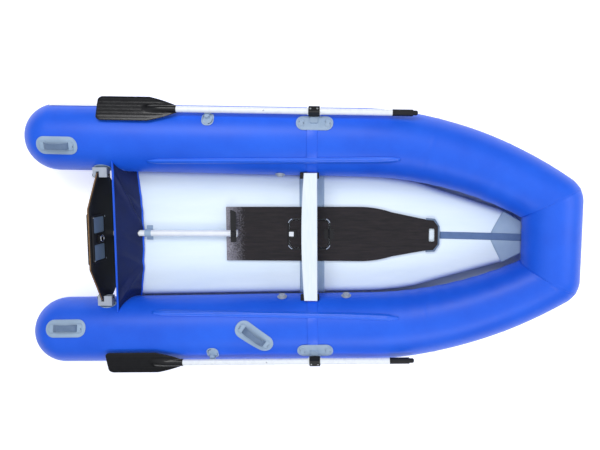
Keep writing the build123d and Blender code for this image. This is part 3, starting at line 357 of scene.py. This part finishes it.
def rounded_rect(length, width, corner, steps=8):
    pts = []
    a, b = length / 2 - corner, width / 2 - corner
    for cx, cy, start in ((a, b, 0), (-a, b, 90), (-a, -b, 180), (a, -b, 270)):
        for n in range(steps + 1):
            t = radians(start + 90 * n / steps)
            pts.append((cx + corner * cos(t), cy + corner * sin(t)))
    dense = []
    for n, p in enumerate(pts):
        q = pts[(n + 1) % len(pts)]
        gap = sqrt((q[0] - p[0]) ** 2 + (q[1] - p[1]) ** 2)
        cuts = max(1, int(gap / 0.012))
        dense += [(p[0] + (q[0] - p[0]) * k / cuts, p[1] + (q[1] - p[1]) * k / cuts) for k in range(cuts)]
    return dense


def patch(name, outline, place, thick, slot, body, stands_for=(), weld=0.004):
    """Thin bonded sheet: its skin follows place(u, v, h), with a pressed weld line and a soft edge."""
    half = max(sqrt(u * u + v * v) for u, v in outline)
    levels = [(1.0, 0.0), (1.0, thick * 0.55), (1 - 0.0012 / half, thick * 0.9), (1 - 0.004 / half, thick)]
    if weld:
        levels += [(1 - 0.008 / half, thick), (1 - 0.0095 / half, thick * 0.72),
                   (1 - 0.0115 / half, thick * 0.72), (1 - 0.013 / half, thick)]
    levels += [(s, thick) for s in (0.85, 0.7, 0.55, 0.4, 0.25, 0.12)]
    rows = [[place(u * s, v * s, h) for u, v in outline] for s, h in levels]
    rows = [[place(u * s, v * s, 0.0) for u, v in outline] for s in (0.3, 0.65)] + rows
    return loft_rows(name, rows, slot, body, stands_for)


def fade(x, a, b):
    t = max(0, min(1, (x - a) / (b - a)))
    return t * t * (3 - 2 * t)


# ---- air tubes ----
AROUND = 112
CORNER_STEPS = 14
NEAR_BOW_X = 1.25
DOME_REACH = R - 0.0017


def pucker(x, angle, side):
    """Small creases where the skin is cut and drawn in along the inside of the bend."""
    inner = max(0, -sin(angle)) ** 2
    bend = fade(x, 0.35, 0.8)
    creases = 0.0011 * sin(x * 62 + 2.2 * sin(angle * 2 + side)) * inner * bend
    drift = 0.0012 * noise.noise(Vector((x * 3.1, angle * 1.3, side * 4.0)))
    return creases + drift - SKIN_SINK


def seam_line(x, at, width=0.012, depth=0.0012):
    return depth * max(0, 1 - abs(x - at) / width)


def angles():
    return [2 * pi * k / AROUND for k in range(AROUND)]


def side_rows(side, stations):
    rows = []
    for x in stations:
        row = []
        for a in angles():
            lap = seam_line(x, 0.80) + seam_line(x, 1.16) - seam_line(x, BULKHEAD_X - 0.036, 0.008, 0.001)
            row.append(on_tube(x, side, a, pucker(x, a, side) + lap))
        rows.append(row)
    return rows


def mitre(side):
    """Where a side tube meets the bow tube: centre, plane normal, heading, outboard and upward."""
    c, out, up, t = ring_frame(BOW_X, side)
    n = (t + Vector((0, -side, 0))).normalized()
    return c, n, t, out, up


def clamp_to(p, c, n, t, sign):
    """Slide a point back along t when it lies beyond the plane through c with normal n."""
    d = (p - c).dot(n) * sign
    if d > 0:
        return p - t * ((p - c).dot(n) / t.dot(n))
    return p


def mitre_lap(p, c, n):
    """A welded tape stands a little proud on both sides of the mitre."""
    return 0.0012 * (1 - fade(abs((p - c).dot(n)), 0.010, 0.014))


def corner_row(side, share, centre, arms, outer_sign, turn_sign):
    """One ring of the round corner, turned a share of the way to the mitre plane."""
    c, n, t = mitre(side)[:3]
    b = Vector((0, -side, 0))
    half = t.angle(b) / 2
    rot = Matrix.Rotation(turn_sign * half * share, 3, t.cross(b).normalized())
    along = t if turn_sign > 0 else b
    row = []
    for arm in arms:
        if arm.dot(n) * outer_sign > 0:
            p = centre + rot @ arm
        else:
            p = clamp_to(centre + arm, c, n, along, turn_sign)
        lift = mitre_lap(p, c, n)
        row.append(p + (p - centre).normalized() * lift)
    return row


for side, name in SIDES:
    rows = []
    for k in range(24):
        x = DOME_X - DOME_REACH * cos(pi / 2 * k / 24) * cos(TOE)
        rows.append([on_tube(x, side, a, -SKIN_SINK) for a in angles()])
    stations = [DOME_X + (BULKHEAD_X - DOME_X) * k / 90 for k in range(91)]
    rows += side_rows(side, stations)
    tube = loft_rows(f"skin_aft_{name}", rows, "tube_blue", "hull", [f"tube_aft_{name}"])
    c, n, t, out, up = mitre(side)
    stations = [BULKHEAD_X + (NEAR_BOW_X - BULKHEAD_X) * k / 110 for k in range(110)]
    stations += [NEAR_BOW_X + (BOW_X - NEAR_BOW_X) * k / 70 for k in range(71)]
    rows = []
    for x, row in zip(stations, side_rows(side, stations)):
        centre = ring_frame(x, side)[0]
        new = []
        for p in row:
            q = clamp_to(p, c, n, t, 1)
            new.append(q + (p - centre).normalized() * mitre_lap(q, c, n))
        rows.append(new)
    arms = [(out * sin(a) + up * cos(a)) * (R_BOW + pucker(BOW_X, a, side)) for a in angles()]
    rows += [corner_row(side, k / CORNER_STEPS, c, arms, -1, 1) for k in range(1, CORNER_STEPS + 1)]
    tube = loft_rows(f"skin_fwd_{name}", rows, "tube_blue", "hull", [f"tube_fwd_{name}"])

# p and s: the mitre points and planes at the port and starboard bow corners
cp, normal_p = mitre(1)[:2]
cs, normal_s = mitre(-1)[:2]


def bow_arms(y):
    """Spokes of the bow tube's ring at y, a little creased along the inside."""
    return [(Vector((1, 0, 0)) * sin(a) + UP * cos(a))
            * (R_BOW - SKIN_SINK + 0.0009 * sin(y * 74 + 1.5 * cos(a)) * max(0, -sin(a)) ** 2)
            for a in angles()]


rows = [corner_row(-1, k / CORNER_STEPS, cs, bow_arms(cs.y), 1, -1) for k in range(CORNER_STEPS, 0, -1)]
for k in range(91):
    y = cs.y + (cp.y - cs.y) * k / 90
    row = []
    for arm in bow_arms(y):
        centre = Vector((cp.x, y, cp.z))
        p = clamp_to(centre + arm, cp, normal_p, Vector((0, -1, 0)), -1)
        p = clamp_to(p, cs, normal_s, Vector((0, 1, 0)), -1)
        lift = max(mitre_lap(p, cp, normal_p), mitre_lap(p, cs, normal_s))
        row.append(p + arm.normalized() * lift)
    rows.append(row)
rows += [corner_row(1, k / CORNER_STEPS, cp, bow_arms(cp.y), 1, -1) for k in range(1, CORNER_STEPS + 1)]
bow = loft_rows("skin_bow", rows, "tube_blue", "hull", ["tube_bow"])

# ---- seam bands round the bulkheads ----
BAND_AFT = 0.0955
BAND_WIDE = 0.059
BAND_SECTION = ((0, 0.0002), (0, 0.0009), (0.03, 0.0012), (0.5, 0.0012), (0.97, 0.0012), (1, 0.0009),
                (1, 0.0002))
for side, name in SIDES:
    rows = []
    for k, h in BAND_SECTION:
        x = BAND_AFT + BAND_WIDE * k
        rows.append([on_tube(x, side, a, h) for a in angles()])
    rows.append([on_tube(BULKHEAD_X, side, a, -0.0004) for a in angles()])
    verts = [p for row in rows for p in row]
    faces = grid_faces(len(rows), AROUND, True)
    last = (len(rows) - 1) * AROUND
    faces += [(last + j, last + (j + 1) % AROUND, (j + 1) % AROUND, j) for j in range(AROUND)]
    piece(f"seam_band_{name}", verts, faces, "seam_blue", "hull", ["seam_bands"])

# ---- floor ----
FLOOR_PLAN = ((0.52, 0.352), (0.63, 0.338), (0.730, 0.318), (1.215, 0.158), (FLOOR_NOSE, 0.092))
FLOOR_GAP = 0.0023
END_DEPTH = 0.045  # of the rounded edge at the floor's two ends
END_STEPS = 8


def floor_half(x):
    straight = axis_y(min(x, BEND_X)) - sqrt(R * R - (R - FLOOR_TOP) ** 2) - FLOOR_GAP
    if x <= BEND_X:
        return straight
    pts = [(BEND_X, straight), *FLOOR_PLAN]
    for (x0, w0), (x1, w1) in zip(pts, pts[1:]):
        if x <= x1:
            return w0 + (w1 - w0) * (x - x0) / (x1 - x0)
    return pts[-1][1]


def floor_section(x, low, high, cols=40):
    """Outline of the floor across the boat at x, quilted on top and round at both sides."""
    w = floor_half(x)
    pts = []
    side_r = (high - low) / 2
    mid = (high + low) / 2
    for k in range(cols + 1):
        y = -(w - side_r) + 2 * (w - side_r) * k / cols
        quilt = 0.0005 * sin(y * 2 * pi / 0.021)
        pts.append((y, high - 0.0006 + quilt))
    for k in range(1, 12):
        t = pi / 2 - pi * k / 12
        pts.append((w - side_r + side_r * cos(t), mid + side_r * sin(t)))
    for k in range(cols + 1):
        y = (w - side_r) - 2 * (w - side_r) * k / cols
        pts.append((y, low))
    for k in range(1, 12):
        t = -pi / 2 - pi * k / 12
        pts.append((-(w - side_r) + side_r * cos(t), mid + side_r * sin(t)))
    return [Vector((x, y, sheer(x, z))) for y, z in pts]


def middle_stations(x0, x1, depth):
    """Evenly spaced stations between the two rounded ends."""
    return [x0 + depth + (x1 - x0 - 2 * depth) * k / 110 for k in range(111)]


def rounded_end(k):
    """How far one ring of a rounded end is set back, and its half height."""
    t = k / END_STEPS * pi / 2
    return END_DEPTH * (1 - cos(t)), max(0.002, END_DEPTH * sin(t))


def inflated_floor():
    mid = (FLOOR_TOP + FLOOR_LOW) / 2
    out = []
    for k in range(END_STEPS):
        back, half = rounded_end(k)
        out.append(floor_section(FLOOR_AFT + back, mid - half, mid + half))
    for x in middle_stations(FLOOR_AFT, FLOOR_NOSE, END_DEPTH):
        out.append(floor_section(x, FLOOR_LOW, FLOOR_TOP))
    for k in range(END_STEPS - 1, -1, -1):
        back, half = rounded_end(k)
        out.append(floor_section(FLOOR_NOSE - back, mid - half, mid + half))
    return out


floor = loft_rows("air_floor", inflated_floor(), "floor_pale", "hull", ["floor"])
floor.data.materials.append(MAT["bottom_grey"])
for f in floor.data.polygons:
    if abs(f.normal.z) < 0.55:
        f.material_index = 1


BOTTOM_BEND_X = 1.300
BOTTOM_NOSE_LENGTH = 0.100
BOTTOM_NOSE_HALF = 0.190
BOTTOM_GAP = 0.0026


def bottom_half(x):
    drop = R - FLOOR_LOW
    if x > BOTTOM_BEND_X:
        w = bottom_half(BOTTOM_BEND_X)
        return w + (BOTTOM_NOSE_HALF - w) * (x - BOTTOM_BEND_X) / BOTTOM_NOSE_LENGTH
    return axis_y(x) - sqrt(max(0, radius_at(x) ** 2 - drop**2)) - BOTTOM_GAP


def bottom_row(x):
    w = bottom_half(x)
    top, low = FLOOR_LOW - 0.0002, FLOOR_LOW - 0.0028
    row = []
    for k in range(41):
        y = -w + 2 * w * k / 40
        row.append(Vector((x, y, sheer(x, top))))
    for k in range(41):
        y = w - 2 * w * k / 40
        row.append(Vector((x, y, sheer(x, low))))
    return row


stations = [FLOOR_AFT + (1.399 - FLOOR_AFT) * k / 90 for k in range(91)]
cut_area = sum(2 * bottom_half(x) for x in stations) * (1.399 - FLOOR_AFT) / 91
bottom = loft_rows("bottom_skin", [bottom_row(x) for x in stations], "bottom_grey", "hull", ["hull_bottom"])


def on_floor(x, y, h):
    return Vector((x, y, sheer(x, FLOOR_TOP + h)))


def floor_sheet(name, left, right, width_at, thick, slot, stands_for, cols=30, rows=12):
    grid = []
    for i in range(rows + 1):
        row = []
        for j in range(cols + 1):
            row.append((i / rows, -1 + 2 * j / cols))
        grid.append(row)
    top, low = [], []
    for row in grid:
        for s, q in row:
            x = left(q) + (right(q) - left(q)) * s
            y = q * width_at(x)
            edge = min(s, 1 - s, (1 - abs(q)) * 2)
            top.append(on_floor(x, y, 0.0002 + thick * (0.6 if edge < 0.01 else 1.0)))
            low.append(on_floor(x, y, 0.0001))
    n = len(top)
    faces = grid_faces(rows + 1, cols + 1, False)
    faces += [tuple(n + k for k in reversed(f)) for f in faces]
    ring = list(range(cols + 1)) + [i * (cols + 1) + cols for i in range(1, rows + 1)]
    ring += [rows * (cols + 1) + j for j in range(cols - 1, -1, -1)]
    ring += [i * (cols + 1) for i in range(rows - 1, 0, -1)]
    faces += [(a, b, n + b, n + a) for a, b in zip(ring, ring[1:] + ring[:1])]
    return piece(name, top + low, faces, slot, "hull", stands_for)


band = floor_sheet("cross_band", lambda q: 0.035, lambda q: 0.185, lambda x: floor_half(x) - 0.004, 0.0008,
                   "fabric_grey", ["floor_band"])
# Grey sheet over the floor's nose: painted shade, standing for the darkening that falls over the floor's nose
# end.
nose_shade = floor_sheet("nose_patch", lambda q: 1.146 + 0.074 * abs(q), lambda q: FLOOR_NOSE - 0.002,
                   lambda x: floor_half(x) - 0.004, 0.0008, "fabric_grey", ["floor_nose_patch"])
strap = floor_sheet("bow_webbing", lambda q: 0.871, lambda q: FLOOR_NOSE - 0.002, lambda x: 0.0205, 0.0036,
                    "webbing_blue", ["bow_strap"], cols=12, rows=60)


# ---- patches and handles on the tubes ----
def placer(x0, side, degrees, turn=0.0):
    lean = radians(degrees)
    c, s = cos(radians(turn)), sin(radians(turn))

    def place(u, v, h):
        a = u * c - v * s
        b = u * s + v * c
        x = x0 + a * cos(TOE)
        return on_tube(x, side, lean + side * b / R, 0.0003 + h)

    return place


HANDLES = (("stern_port", -1.342, 1, -16, 0), ("stern_starboard", -1.342, -1, -16, 0),
           ("mid_starboard", -0.216, -1, 1.5, -36))
for name, x, side, deg, turn in HANDLES:
    place = placer(x, side, deg, turn * -side)
    o = patch(f"handle_patch_{name}", rounded_rect(0.246, 0.106, 0.050, 14), place, 0.0019,
              "fabric_grey", "hull", ["handle_patches"])
    rows = []
    span, wide, rise = 0.146, 0.040, 0.0285
    for k in range(49):
        s = -1 + 2 * k / 48
        u = s * span / 2
        lift = 0.004 + (rise - 0.004) * (1 - abs(s) ** 3.2) ** 0.75
        w = wide / 2 * (0.78 + 0.22 * abs(s) ** 2)
        row = []
        for j in range(24):
            t = 2 * pi * j / 24
            sx = abs(cos(t)) ** 0.5 * (1 if cos(t) > 0 else -1)
            sy = abs(sin(t)) ** 0.8 * (1 if sin(t) > 0 else -1)
            row.append(place(u, w * sx, 0.0018 + lift - 0.003 + 0.0026 * sy))
        rows.append(row)
    o = loft_rows(f"grab_{name}", rows, "webbing_navy", "hull", ["handles"])
    middles = [sum(row, Vector()) / len(row) for row in rows]
    run = sum((b - a).length for a, b in zip(middles, middles[1:]))
    for end in (-1, 1):
        foot = rounded_rect(0.040, 0.058, 0.016, 8)
        patch(f"grab_foot_{name}_{'a' if end < 0 else 'b'}", foot,
              lambda u, v, h, e=end, pl=place: pl(u + e * 0.082, v, 0.0019 + h), 0.0035,
              "fabric_grey", "hull")

for side, name in SIDES:
    oval = [(0.052 * cos(2 * pi * k / 48), 0.033 * sin(2 * pi * k / 48)) for k in range(48)]
    o = patch(f"holder_patch_{name}", oval, placer(-1.112, side, -62), 0.0019, "fabric_grey", "hull",
              ["holder_patches"])
    o = patch(f"keeper_patch_{name}", rounded_rect(0.070, 0.084, 0.030, 10),
              placer(-0.470, side, 34), 0.0019, "rubber_grey", "hull", ["keeper_patches"])
    patch(f"rowlock_pad_{name}", rounded_rect(0.209, 0.091, 0.042, 14), placer(OAR_X, side, 30),
          0.0038, "rubber_grey", "hull", ["rowlock_pads"])
o = patch("plain_label", rounded_rect(0.310, 0.080, 0.008), placer(-1.280, 1, 76), 0.0009,
          "label_white", "hull", ["stern_label"], weld=0)

# ---- seat rails: raised strips that follow the tube tops ----
RAIL_Y = 0.445
RAIL_AFT = -0.828
RAIL_LENGTH = 1.472
PROFILE = ((-0.0198, 0.0003), (-0.0198, 0.0015), (-0.017, 0.0022), (-0.012, 0.0026), (-0.0095, 0.0060),
           (-0.007, 0.0078), (-0.002, 0.0078), (0, 0.0070), (0.002, 0.0078), (0.007, 0.0078),
           (0.0095, 0.0060), (0.012, 0.0026), (0.017, 0.0022), (0.0198, 0.0015), (0.0198, 0.0003))
for side, name in SIDES:
    rows = []
    for k in range(101):
        s = k / 100
        x = RAIL_AFT + RAIL_LENGTH * s
        thin = min(1, min(s, 1 - s) * 22 + 0.05)
        base = asin((RAIL_Y - axis_y(x)) / radius_at(x))
        row = []
        for v, h in PROFILE:
            row.append(on_tube(x, side, base + v * (0.35 + 0.65 * thin) / radius_at(x), 0.0004 + h * thin))
        rows.append(row)
    loft_rows(f"rail_{name}", rows, "rail_blue", "hull", ["seat_rails"])

# ---- stern curtain: a sheet between the tubes, with diagonal folds and a bright hem ----
TOP = Vector((-1.040, 0, 0.348))
FOOT = Vector((-0.948, 0, 0.132))
# each fold: place across at the top and at the foot (-1 to 1), depth, width
FOLDS = ((0.95, 0.05, 0.019, 0.06), (0.85, 0.35, 0.013, 0.06), (0.55, 0.55, 0.008, 0.07),
         (-0.95, -0.55, 0.015, 0.07), (-0.2, -0.55, 0.010, 0.06), (0.1, -0.25, 0.008, 0.06),
         (-0.8, -0.9, 0.008, 0.05))
verts = []
COLS, ROWS = 200, 40
drop = FOOT - TOP
normal = Vector((-drop.z, 0, drop.x)).normalized()
for i in range(ROWS + 1):
    s = i / ROWS
    c = TOP + drop * s
    r_in = sqrt(max(0, (R + 0.0012) ** 2 - (c.z - R) ** 2))
    half = HALF_BEAM - tan(TOE) * c.x - r_in
    for j in range(COLS + 1):
        q = -1 + 2 * j / COLS
        y = q * half
        bow = s * (0.018 - 0.032 * q * q)
        folds = 0.0
        for q0, q1, depth, wide in FOLDS:
            line = q0 + (q1 - q0) * s
            away = (q - line) / wide
            ridge = 1 / (1 + away * away) - 0.5 / (1 + (away - 1.6) ** 2)
            folds += depth * ridge * sin(pi * min(1, 0.12 + s * 0.8))
        folds += 0.005 * noise.noise(Vector((y * 5, s * 2.0, 3))) * sin(pi * s)
        edge = min(1, (1 - abs(q)) * 10)
        h = (bow + folds * edge) * min(1, s * 5)
        p = c + normal * h
        p.y = y
        dy, dz = y - PIPE_Y, p.z - PIPE_Z
        gap = sqrt(dy * dy + dz * dz)
        if gap < PIPE_HOLE:
            k = PIPE_HOLE / max(gap, 0.0005)
            p = Vector((p.x, PIPE_Y + dy * k, PIPE_Z + dz * k))
            p.x = TOP.x + (TOP.z - p.z) * (FOOT.x - TOP.x) / (TOP.z - FOOT.z) + 0.010
        verts.append(p)
n = len(verts)
back = [v + normal * -0.0016 for v in verts]
faces = []
for f in grid_faces(ROWS + 1, COLS + 1, False):
    mid = sum((verts[k] for k in f), Vector()) / 4
    if (mid.y - PIPE_Y) ** 2 + (mid.z - PIPE_Z) ** 2 < (PIPE_HOLE - 0.0005) ** 2:
        continue
    faces.append(f)
edges = {}
for f in faces:
    for a, b in zip(f, f[1:] + f[:1]):
        edges[(a, b)] = edges.get((a, b), 0) + 1
rim = [(a, b) for (a, b) in edges if (b, a) not in edges]
faces += [tuple(n + k for k in reversed(f)) for f in faces]
faces += [(b, a, n + a, n + b) for a, b in rim]
curtain = piece("curtain", verts + back, faces, "curtain_blue", "hull", ["stern_curtain"])


def hem(name, s0, s1, lift, slot):
    rows = []
    for j in range(COLS + 1):
        a = verts[int(s0 * ROWS) * (COLS + 1) + j]
        b = verts[int(s1 * ROWS) * (COLS + 1) + j]
        d = (b - a).normalized()
        row = [a - normal * (0.0016 + lift), b - normal * (0.0016 + lift), b + d * lift, b + normal * lift,
               a + normal * lift, a - d * lift]
        rows.append(row)
    return loft_rows(name, rows, slot, "hull")


hem_low = hem("curtain_hem", 0.95, 1.0, 0.0011, "seam_blue")
hem_top = hem("curtain_roll", 0.0, 0.05, 0.0016, "seam_blue")

# ---- oar blades: ribbed mouldings ----
BLADE_END, BLADE_ROOT = -1.241, -0.781  # along the oar, from the rowlock
TAPER_AT = -0.942
TAPER_LENGTH = 0.161
BLADE_HALF, NECK_HALF = 0.0735, 0.0222
CORE_RADIUS = 0.0219
for side, name in SIDES:
    o = Vector((OAR_X, side * OAR_Y, OAR_Z))
    along = Vector((cos(OAR_TOE), -side * sin(OAR_TOE), 0))
    flat_out = Vector((sin(OAR_TOE), side * cos(OAR_TOE), 0))
    across = (flat_out * cos(BLADE_TILT) - UP * sin(BLADE_TILT)).normalized()
    up = along.cross(across) * side
    rows = []
    for k in range(81):
        s = k / 80
        at = BLADE_END + (BLADE_ROOT - BLADE_END) * s
        if at < TAPER_AT:
            e = max(0, 1 - (at - BLADE_END) / 0.026)
            w = BLADE_HALF - 0.016 * e * e
        else:
            along_taper = (at - TAPER_AT) / TAPER_LENGTH
            w = BLADE_HALF + (NECK_HALF - BLADE_HALF) * along_taper + 0.004 * sin(pi * along_taper)
        neck = fade(at, -0.90, -0.80)
        row = []
        for j in range(60):
            t = 2 * pi * j / 60
            q = cos(t)
            thick = 0.0044 * (1 - abs(q) ** 5) ** 0.5
            ribs = 0.0011 * (0.5 + 0.5 * cos(q * w / BLADE_HALF * 2 * pi * 3.5)) * (1 - abs(q) ** 4)
            core = sqrt(max(0, CORE_RADIUS**2 - (q * w) ** 2)) * fade(at, -1.02, -0.871)
            h = max(thick * 0.75 * (1 - neck) + ribs * (1 - neck), core, 0.0022 * (1 - abs(q) ** 6))
            row.append(o + along * at + across * (q * w) + up * (h if sin(t) >= 0 else -h))
        rows.append(row)
    loft_rows(f"blade_{name}", rows, "blade_black", f"oar_{name}", [f"oar_blade_{name}"])


# ---- small added fittings ----
def disc(name, centre, axis, r, h, slot, body, sides=32, soft=0.15):
    axis = axis.normalized()
    ref = Vector((1, 0, 0)) if abs(axis.x) < 0.9 else Vector((0, 1, 0))
    u = axis.cross(ref).normalized()
    v = axis.cross(u)
    rows = []
    for s, z in ((1, 0), (1, h * 0.7), (1 - soft * 0.4, h * 0.92), (1 - soft, h), (0.45, h), (0.2, h)):
        rows.append([centre + (u * cos(2 * pi * k / sides) + v * sin(2 * pi * k / sides)) * r * s + axis * z
                     for k in range(sides)])
    return loft_rows(name, rows, slot, body)


for side, name in SIDES:
    n = Vector((0, side * sin(ROWLOCK_LEAN), cos(ROWLOCK_LEAN)))
    o = Vector((OAR_X, side * OAR_Y, OAR_Z))
    for tag, dx in (("a", -0.019), ("b", 0.019)):
        disc(f"collar_screw_{name}_{tag}", o + Vector((dx, 0, 0)) + n * 0.0229, n, 0.0052, 0.0022, "steel",
             f"rowlock_{name}")
    for tag, du in (("a", -0.074), ("b", 0.074)):
        place = placer(OAR_X, side, 30)
        ridge = rounded_rect(0.034, 0.060, 0.014, 8)
        patch(f"pad_ridge_{name}_{tag}", ridge,
              lambda u, v, h, d=du, pl=place: pl(u + d, v, 0.0037 + h), 0.0022, "rubber_grey", "hull")

PANEL_DEPTH = 0.007  # from the board's forward face to the panels' floor
PAD_N = Vector((cos(RAKE), 0, sin(RAKE)))
PAD_V = Vector((-sin(RAKE), 0, cos(RAKE)))
PAD = Vector((TRANSOM_X, 0, TRANSOM_Z)) + PAD_N * (TRANSOM_THICK / 2 + PANEL_DEPTH)
for tag, y in (("port", 0.080), ("starboard", -0.080)):
    patch(f"pad_panel_{tag}", rounded_rect(0.092, 0.114, 0.009, 6),
          lambda u, v, h, y=y: PAD + PAD_V * (0.070 + v) + Vector((0, y + u, 0)) + PAD_N * (h + 0.0001),
          0.0016, "rubber_slate", "hull", weld=0)


# ---- raised bead round the hatch, with pale corner arcs painted as highlights ----
def bead(name, outline, z, wide, high, slot, closed=True):
    rows = []
    count = len(outline)
    for k, (u, v) in enumerate(outline):
        a = outline[(k - 1) % count] if closed or k else outline[0]
        b = outline[(k + 1) % count] if closed or k < count - 1 else outline[-1]
        d = Vector((b[0] - a[0], b[1] - a[1], 0)).normalized()
        n = Vector((d.y, -d.x, 0))
        c = Vector((HATCH_X + u, v, z))
        turns = [2 * pi * j / 12 for j in range(12)]
        rows.append([c + n * (wide / 2 * cos(t)) + UP * (high * (0.5 + 0.5 * sin(t))) for t in turns])
    if closed:
        rows.append(rows[0])
    return loft_rows(name, rows, slot, "hull", caps=not closed)


BEAD_GROW = 0.019  # the bead's outline is this much longer and wider than the hatch
BEAD_CORNER = 0.038
ring = rounded_rect(HATCH_LENGTH + BEAD_GROW, HATCH_WIDTH + BEAD_GROW, BEAD_CORNER, 10)
bead("hatch_bead", ring, 0.1412, 0.0085, 0.0030, "plastic_black")
# The pale grey arcs on the bead's four corners are painted highlights on the glossy black bead.
for tag, sx, sy in (("a", 1, 1), ("b", 1, -1), ("c", -1, 1), ("d", -1, -1)):
    cx = sx * ((HATCH_LENGTH + BEAD_GROW) / 2 - BEAD_CORNER)
    cy = sy * ((HATCH_WIDTH + BEAD_GROW) / 2 - BEAD_CORNER)
    turns = [radians(20 + 50 * k / 8) for k in range(9)]
    highlight_arc = [(cx + sx * BEAD_CORNER * cos(t), cy + sy * BEAD_CORNER * sin(t)) for t in turns]
    bead(f"hatch_corner_highlight_{tag}", highlight_arc, 0.1426, 0.0060, 0.0026, "plastic_grey", closed=False)

# ---- stage, lights and camera ----
ground = finish_node("studio_floor", (0.93, 0.94, 0.95), 0.75, (0.95, 0.955, 0.96), 1.5, 60, 0.02)
me = bpy.data.meshes.new("studio_ground")
G, LOW = 90, -0.001  # half size and height of the studio floor
me.from_pydata([(-G, -G, LOW), (G, -G, LOW), (G, G, LOW), (-G, G, LOW)], [], [(0, 1, 2, 3)])
stage_obj = bpy.data.objects.new("studio_ground", me)
bpy.context.scene.collection.objects.link(stage_obj)
me.materials.append(ground)
lit = ground.node_tree.nodes["Principled BSDF"]
lit.inputs["Emission Color"].default_value = (1, 1, 1, 1)
lit.inputs["Emission Strength"].default_value = 0.42

world = bpy.data.worlds.new("studio")
bpy.context.scene.world = world
world.use_nodes = True
back = world.node_tree.nodes["Background"]
back.inputs["Color"].default_value = (0.93, 0.96, 1.0, 1)
sky = world.node_tree.nodes.new("ShaderNodeTexCoord")
height = world.node_tree.nodes.new("ShaderNodeSeparateXYZ")
soft = world.node_tree.nodes.new("ShaderNodeMapRange")
soft.inputs["From Min"].default_value = 0.15
soft.inputs["From Max"].default_value = 0.95
soft.inputs["To Min"].default_value = 0.06
soft.inputs["To Max"].default_value = 1.0
world.node_tree.links.new(sky.outputs["Generated"], height.inputs[0])
world.node_tree.links.new(height.outputs["Z"], soft.inputs["Value"])
world.node_tree.links.new(soft.outputs["Result"], back.inputs["Strength"])


def area(name, at, target, size, power, color=(1, 1, 1)):
    light = bpy.data.lights.new(name, "AREA")
    light.shape = "RECTANGLE"
    light.size, light.size_y = size
    light.energy = power
    light.color = color
    o = bpy.data.objects.new(name, light)
    bpy.context.scene.collection.objects.link(o)
    o.location = at
    o.rotation_euler = (Vector(target) - Vector(at)).to_track_quat("-Z", "Y").to_euler()
    return o


area("key", (-1.2, 3.0, 4.2), (0, 0, 0.2), (3.0, 1.6), 105)
area("fill", (0.8, -3.6, 3.6), (0, 0, 0.2), (3.5, 1.2), 62, (0.95, 0.98, 1))
area("bow_light", (4.0, 0.4, 2.6), (0.4, 0, 0.2), (2.0, 2.0), 40)

cam = bpy.data.cameras.new("camera")
cam.sensor_width = 36
cam.lens = 36 * 615.3 / 600
cam.clip_end = 400
cam_obj = bpy.data.objects.new("camera", cam)
bpy.context.scene.collection.objects.link(cam_obj)
turn = (Matrix.Rotation(radians(-6.41), 4, "X") @ Matrix.Rotation(radians(3.95), 4, "Y")
        @ Matrix.Rotation(radians(0.13), 4, "Z"))
cam_obj.matrix_world = Matrix.Translation((0.295, 0.471, 3.846)) @ turn
bpy.context.scene.camera = cam_obj
bpy.context.scene.view_settings.view_transform = "Standard"
